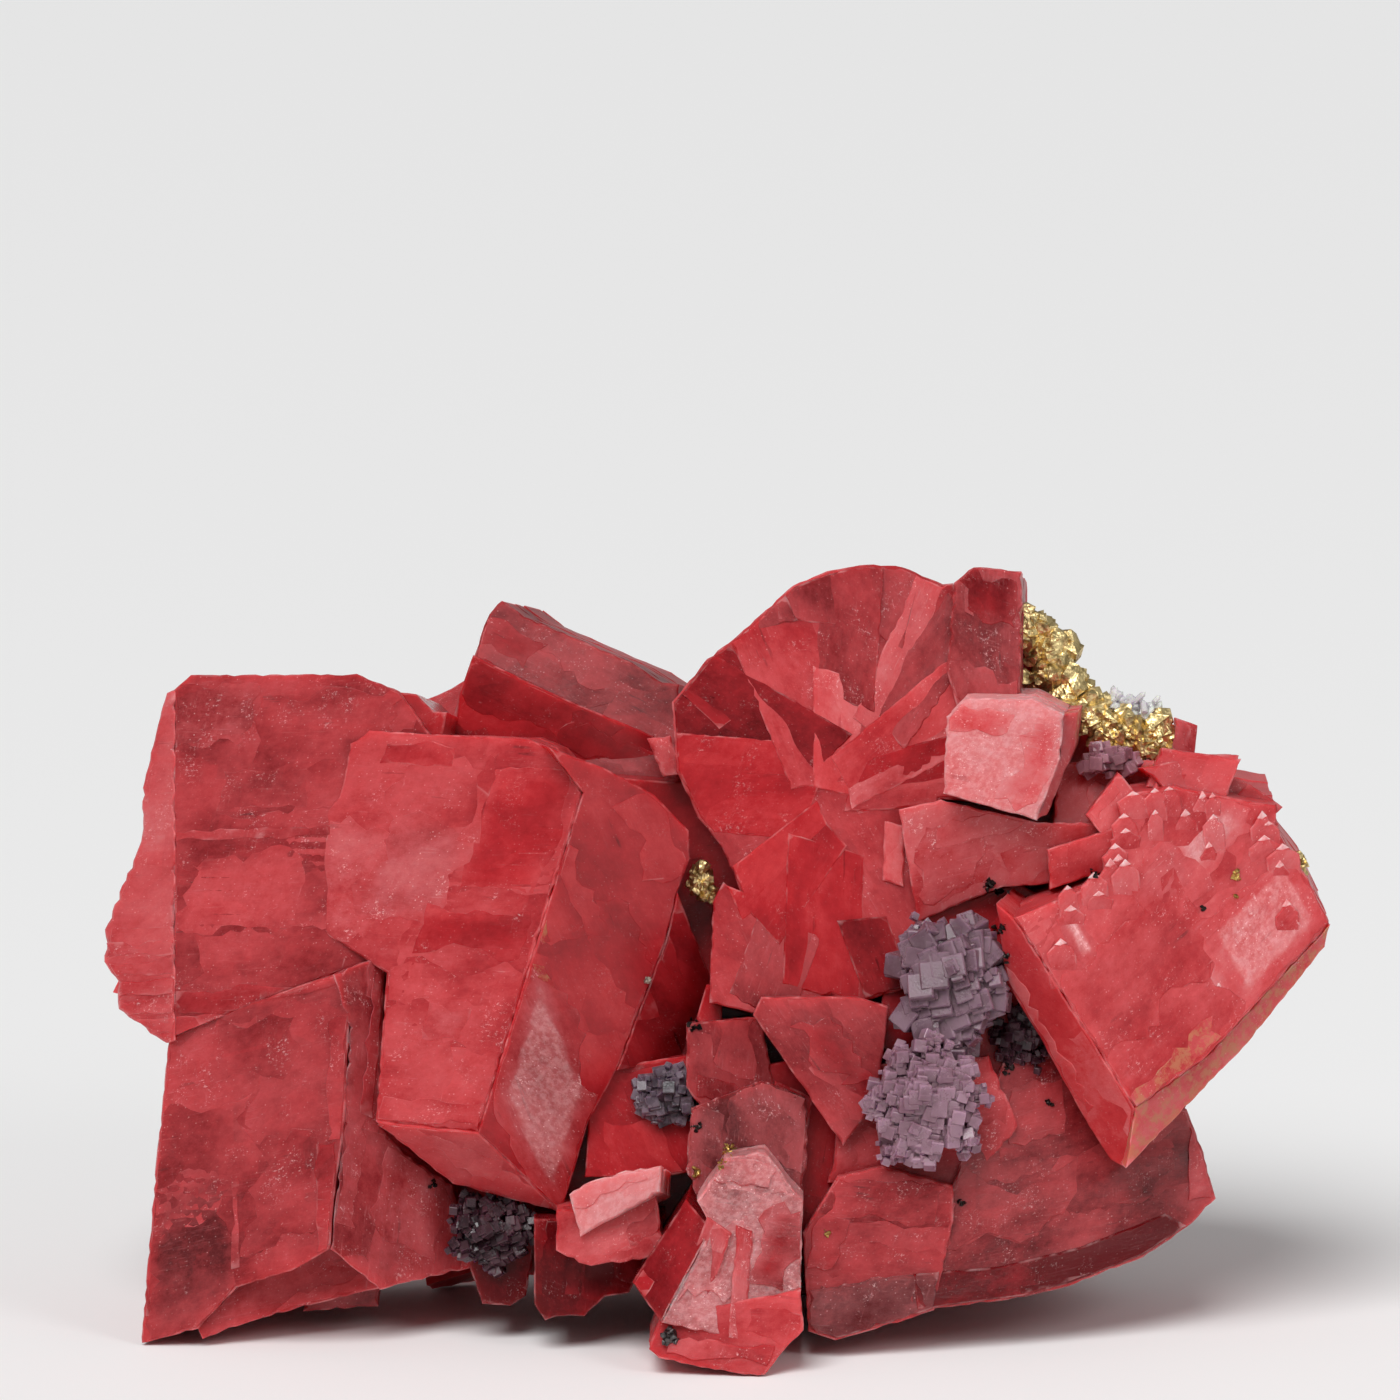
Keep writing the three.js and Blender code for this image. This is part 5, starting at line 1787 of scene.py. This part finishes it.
def convex(points: np.ndarray) -> Shell:
    """The closed shape that wraps a set of points."""
    shape = bmesh.new()
    for point in points:
        shape.verts.new(point)
    result = bmesh.ops.convex_hull(shape, input=shape.verts)
    unused = [item for item in result["geom_unused"] if isinstance(item, bmesh.types.BMVert)]
    bmesh.ops.delete(shape, geom=unused, context="VERTS")
    bmesh.ops.recalc_face_normals(shape, faces=shape.faces)
    shape.verts.index_update()
    made = Shell(
        np.array([tuple(vert.co) for vert in shape.verts]),
        [tuple(vert.index for vert in face.verts) for face in shape.faces],
    )
    shape.free()
    return made


@dataclass(frozen=True)
class GrainCrust:
    """A crust of irregular metallic grains spread over the front of its CAD node.

    Attributes:
        node: The CAD node that it stands for.
        grains: How many grains it has.
        size: Smallest and largest radius of a grain, in mm.
        finish: Its finish.
        seed: Start of its random draws.
    """

    node: str
    grains: int
    size: Point2
    finish: BrassyFinish
    seed: int

    def build(self) -> bpy.types.Object:
        """Build the joined grains and dress them.

        Returns:
            The finished piece.
        """
        rng = np.random.default_rng(self.seed)
        front = NodeFront(self.node)
        shells = [front.bed(BED_SHARE, BED_SUNK, self.grains)]
        while len(shells) <= self.grains:
            spot = front.spot(rng)
            radius = self.size[0] + (self.size[1] - self.size[0]) * float(rng.random()) ** 2
            depth = max(spot.y + 0.4 * radius + rng.normal(0, 0.15), front.low[1] + 1.05 * radius)
            centre = np.array((spot.x, depth, spot.z))
            grain = convex(centre + self.lump(rng) * radius)
            grain.crystal = len(shells) - 1
            shells.append(grain)
        mesh = united(self.node, shells)
        mesh.transform(growth_matrix())
        return shown(f"{self.node}_grains", mesh, self.finish.material(), [self.node])

    def lump(self, rng: np.random.Generator) -> np.ndarray:
        """Corners of an irregular lump of radius 1."""
        spread = rng.normal(0, 1, (LUMP_CORNERS, 3))
        return spread / np.linalg.norm(spread, axis=1)[:, None] * rng.uniform(0.8, 1.04, (LUMP_CORNERS, 1))


@dataclass(frozen=True)
class Specks:
    """Small grains scattered on the red crystals.

    Attributes:
        name: Name of the piece.
        slot: Name of a material slot; not used.
        knots: For each knot of grains, the crystal that it lies on, its shares across and up that
            crystal's face, and its spread in mm.
        finish: Its finish.
        seed: Start of its random draws.
    """

    name: str
    slot: str
    knots: list[tuple[str, float, float, float]]
    finish: BrassyFinish
    seed: int

    def build(self, mass: RedCrystals) -> bpy.types.Object:
        """Set the grains on the red crystals and dress them.

        Args:
            mass: The red crystals, already built.

        Returns:
            The finished piece.
        """
        rng = np.random.default_rng(self.seed)
        outlines = {slab.name: np.array(slab.outline) for slab in mass.slabs}
        shells = []
        for crystal, across, up, spread in self.knots:
            low, high = outlines[crystal].min(axis=0), outlines[crystal].max(axis=0)
            x, z = low + (high - low) * np.array((across, up))
            for _ in range(int(4 + spread * 14)):
                px, pz = x + rng.normal(0, 0.5 * spread), z + rng.normal(0, 0.5 * spread)
                radius = rng.uniform(0.1, 0.32) * (0.6 + spread)
                raw = rng.normal(0, 1, (10, 3))
                raw = raw / np.linalg.norm(raw, axis=1)[:, None] * radius
                shells.append(convex(np.array([px, mass.surface.front_at(px, pz) - 0.2 * radius, pz]) + raw))
        mesh = united(self.name, shells)
        mesh.transform(growth_matrix())
        piece = bpy.data.objects.new(self.name, mesh)
        bpy.context.scene.collection.objects.link(piece)
        mesh.materials.clear()
        mesh.materials.append(self.finish.material())
        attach(piece, "root")
        return piece


@dataclass(frozen=True)
class QuartzDruse:
    """Short six-sided quartz points that sparkle on the crust.

    Attributes:
        node: The CAD node that it stands for.
        points: How many points it has.
        seed: Start of its random draws.
    """

    node: str = "quartz_druse"
    points: int = 46
    seed: int = 5

    def build(self) -> bpy.types.Object:
        """Build the joined points and dress them.

        Returns:
            The finished piece.
        """
        rng = np.random.default_rng(self.seed)
        front = NodeFront(self.node)
        shells = []
        for i in range(self.points):
            centre = np.array(front.spot(rng)) + np.array((0.0, rng.uniform(0, 0.4), 0.0))
            radius, length = rng.uniform(0.2, 0.5), rng.uniform(0.5, 1.3)
            ring = [
                (radius * math.cos(a), radius * math.sin(a), z)
                for a in (k * math.pi / 3 for k in range(6)) for z in (-length, length * 0.2)
            ]
            raw = np.array([*ring, (0, 0, length * 0.2 + radius * 1.2)])
            turn = Euler((rng.uniform(-0.9, 1.6), rng.uniform(-0.9, 0.9), 0)).to_matrix()
            point = convex(centre + raw @ np.array(turn).T)
            point.crystal = i
            shells.append(point)
        mesh = united(self.node, shells)
        shade_crystals(mesh)
        mesh.transform(growth_matrix())
        finish = FluoriteFinish("quartz", rgb(0.9, 0.89, 0.9), rgb(0.5, 0.49, 0.52), 0.05)
        return shown(f"{self.node}_points", mesh, finish.material(), [self.node])


# ------------------------------------------------------------------ studio


@dataclass(frozen=True)
class Studio:
    """Plain floor, soft light and the camera.

    Attributes:
        distance: From the camera to the specimen's middle, in metres.
        view_width: Width that the camera takes in at the specimen, in metres.
        aim: Point that the camera looks at, in mm in the growth frame.
        sky_light: Strength of the even light from all round.
        sun_light: Strength of the soft daylight.
    """

    distance: float = 1.2
    view_width: float = 0.14
    aim: Point3 = (-1.6, 0.0, 66.2)
    sky_light: float = 0.27
    sun_light: float = 2.6

    def floor(self) -> None:
        """A plain pale floor."""
        bpy.ops.mesh.primitive_plane_add(size=6, location=(0, 0, CAD_BOUNDS[0][2] - 0.0002))
        ground = bpy.context.object
        ground.name = "floor"
        paint = bpy.data.materials.new("pale_floor")
        paint.use_nodes = True
        shader = paint.node_tree.nodes["Principled BSDF"]
        shader.inputs["Base Color"].default_value = rgb(0.9, 0.9, 0.9)
        shader.inputs["Roughness"].default_value = 0.8
        ground.data.materials.append(paint)

    def lamp(self, name: str, at: Point3, size: float, power: float) -> None:
        """A soft square lamp that faces the specimen."""
        data = bpy.data.lights.new(name, "AREA")
        data.size = size
        data.energy = power
        lamp = bpy.data.objects.new(name, data)
        lamp.location = at
        lamp.rotation_euler = (Vector((0, 0, 0.04)) - Vector(at)).to_track_quat("-Z", "Y").to_euler()
        bpy.context.scene.collection.objects.link(lamp)

    def build(self) -> None:
        """Set up floor, light and camera."""
        self.floor()
        scene = bpy.context.scene
        world = bpy.data.worlds.new("studio")
        world.use_nodes = True
        world.node_tree.nodes["Background"].inputs[0].default_value = rgb(1, 1, 1)
        world.node_tree.nodes["Background"].inputs[1].default_value = self.sky_light
        scene.world = world
        daylight = bpy.data.lights.new("daylight", "SUN")
        daylight.energy = self.sun_light
        daylight.angle = math.radians(35)
        sky = bpy.data.objects.new("daylight", daylight)
        sky.rotation_euler = Vector((0.22, 0.62, -0.78)).to_track_quat("-Z", "Y").to_euler()
        scene.collection.objects.link(sky)
        self.lamp("window", (0.5, -0.6, 0.5), 0.25, 1.2)
        lens = bpy.data.cameras.new("camera")
        lens.sensor_width = 36
        lens.lens = 36 * self.distance / self.view_width
        camera = bpy.data.objects.new("camera", lens)
        place = growth_matrix()
        target = place @ Vector(self.aim)
        away = place.to_3x3().normalized() @ Vector((0, -1, 0))
        camera.location = target + away * self.distance
        camera.rotation_euler = (-away).to_track_quat("-Z", "Y").to_euler()
        scene.collection.objects.link(camera)
        scene.camera = camera
        scene.view_settings.view_transform = "Standard"


def clusters() -> list[CubeCluster]:
    """The six fluorite clusters."""
    lavender = FluoriteFinish("fluorite_lavender", rgb(0.38, 0.23, 0.29), rgb(0.2, 0.1, 0.13), 0.1)
    grey = FluoriteFinish("fluorite_grey", rgb(0.26, 0.16, 0.2), rgb(0.12, 0.06, 0.08), 0.1)
    dark = FluoriteFinish("fluorite_dark", rgb(0.085, 0.028, 0.04), rgb(0.01, 0.003, 0.005), 0.1)
    smoky = FluoriteFinish("fluorite_smoky", rgb(0.22, 0.16, 0.2), rgb(0.02, 0.012, 0.018), 0.1)
    rosy = FluoriteFinish("fluorite_rosy", rgb(0.42, 0.2, 0.24), rgb(0.2, 0.08, 0.1), 0.1)
    return [
        CubeCluster("fluorite_lavender", 460, (0.4, 1.9), lavender, 21),
        CubeCluster("fluorite_grey", 260, (0.5, 3.4), grey, 22),
        CubeCluster("fluorite_dark", 150, (0.4, 1.2), dark, 23),
        CubeCluster("fluorite_middle", 90, (0.5, 1.6), smoky, 24),
        CubeCluster("fluorite_low", 170, (0.5, 1.5), dark, 25),
        CubeCluster("fluorite_pink", 24, (0.7, 1.7), rosy, 26),
    ]


def crusts() -> list[GrainCrust]:
    """The brassy crusts and crystals, and the dark metallic grain."""
    brass = BrassyFinish("chalcopyrite", rgb(0.86, 0.68, 0.33), rgb(0.34, 0.26, 0.12))
    steel = BrassyFinish("sulphide", rgb(0.12, 0.11, 0.11), rgb(0.03, 0.02, 0.02))
    return [
        GrainCrust("chalcopyrite_crust", 210, (0.4, 1.9), brass, 31),
        GrainCrust("chalcopyrite_cleft", 22, (0.4, 0.9), brass, 32),
        GrainCrust("chalcopyrite_nub", 26, (0.25, 0.6), brass, 33),
        GrainCrust("sulphide_grain", 10, (0.2, 0.45), steel, 34),
    ]


def specks() -> list[Specks]:
    """The scattered grains: brassy, metallic and sooty."""
    brass = BrassyFinish("brassy_specks", rgb(0.62, 0.42, 0.13), rgb(0.2, 0.12, 0.04))
    steel = BrassyFinish("silvery_speck", rgb(0.5, 0.44, 0.36), rgb(0.1, 0.08, 0.07))
    soot = BrassyFinish("sooty_specks", rgb(0.045, 0.035, 0.032), rgb(0.012, 0.009, 0.01))
    return [
        Specks(
            "brassy_specks", "chalcopyrite",
            [("neck", 0.34, 0.42, 0.6), ("neck", 0.3, 0.3, 0.4), ("foot front", 0.24, 0.88, 0.5),
             ("block right of the foot", 0.16, 0.62, 0.3), ("right rhomb front", 0.7, 0.72, 0.5),
             ("right rhomb front", 0.7, 0.66, 0.3)],
            brass, 41,
        ),
        Specks("silvery_speck", "sulphide", [("right-hand face", 0.8, 0.5, 0.4)], steel, 42),
        Specks(
            "sooty_specks", "sulphide",
            [("fan arm", 0.42, 0.3, 0.7), ("fan arm", 0.48, 0.26, 0.6), ("fan arm", 0.9, 0.4, 0.4),
             ("right rhomb side", 0.04, 0.9, 0.6), ("right rhomb side", 0.08, 0.8, 0.5),
             ("lower right mass", 0.17, 0.42, 0.4), ("lower right mass", 0.46, 0.8, 0.4),
             ("seat of the fluorite", 0.95, 0.9, 0.5), ("under face", 0.3, 0.3, 0.4),
             ("neck", 0.1, 0.6, 0.5), ("neck top", 0.1, 0.9, 0.6), ("right rhomb front", 0.6, 0.62, 0.3)],
            soot, 43,
        ),
    ]


def main() -> None:
    """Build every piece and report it."""
    logging.basicConfig(level=logging.INFO, format="%(name)s: %(message)s")
    Studio().build()
    mass = RedCrystals()
    pieces = [mass.build()]
    pieces.extend(builder.build() for builder in [*clusters(), *crusts(), QuartzDruse()])
    pieces.extend(builder.build(mass) for builder in specks())
    for piece in pieces:
        LOG.info("%s has %d faces", piece.name, len(piece.data.polygons))
    bpy.context.view_layer.update()


if __name__ == "__main__":
    main()
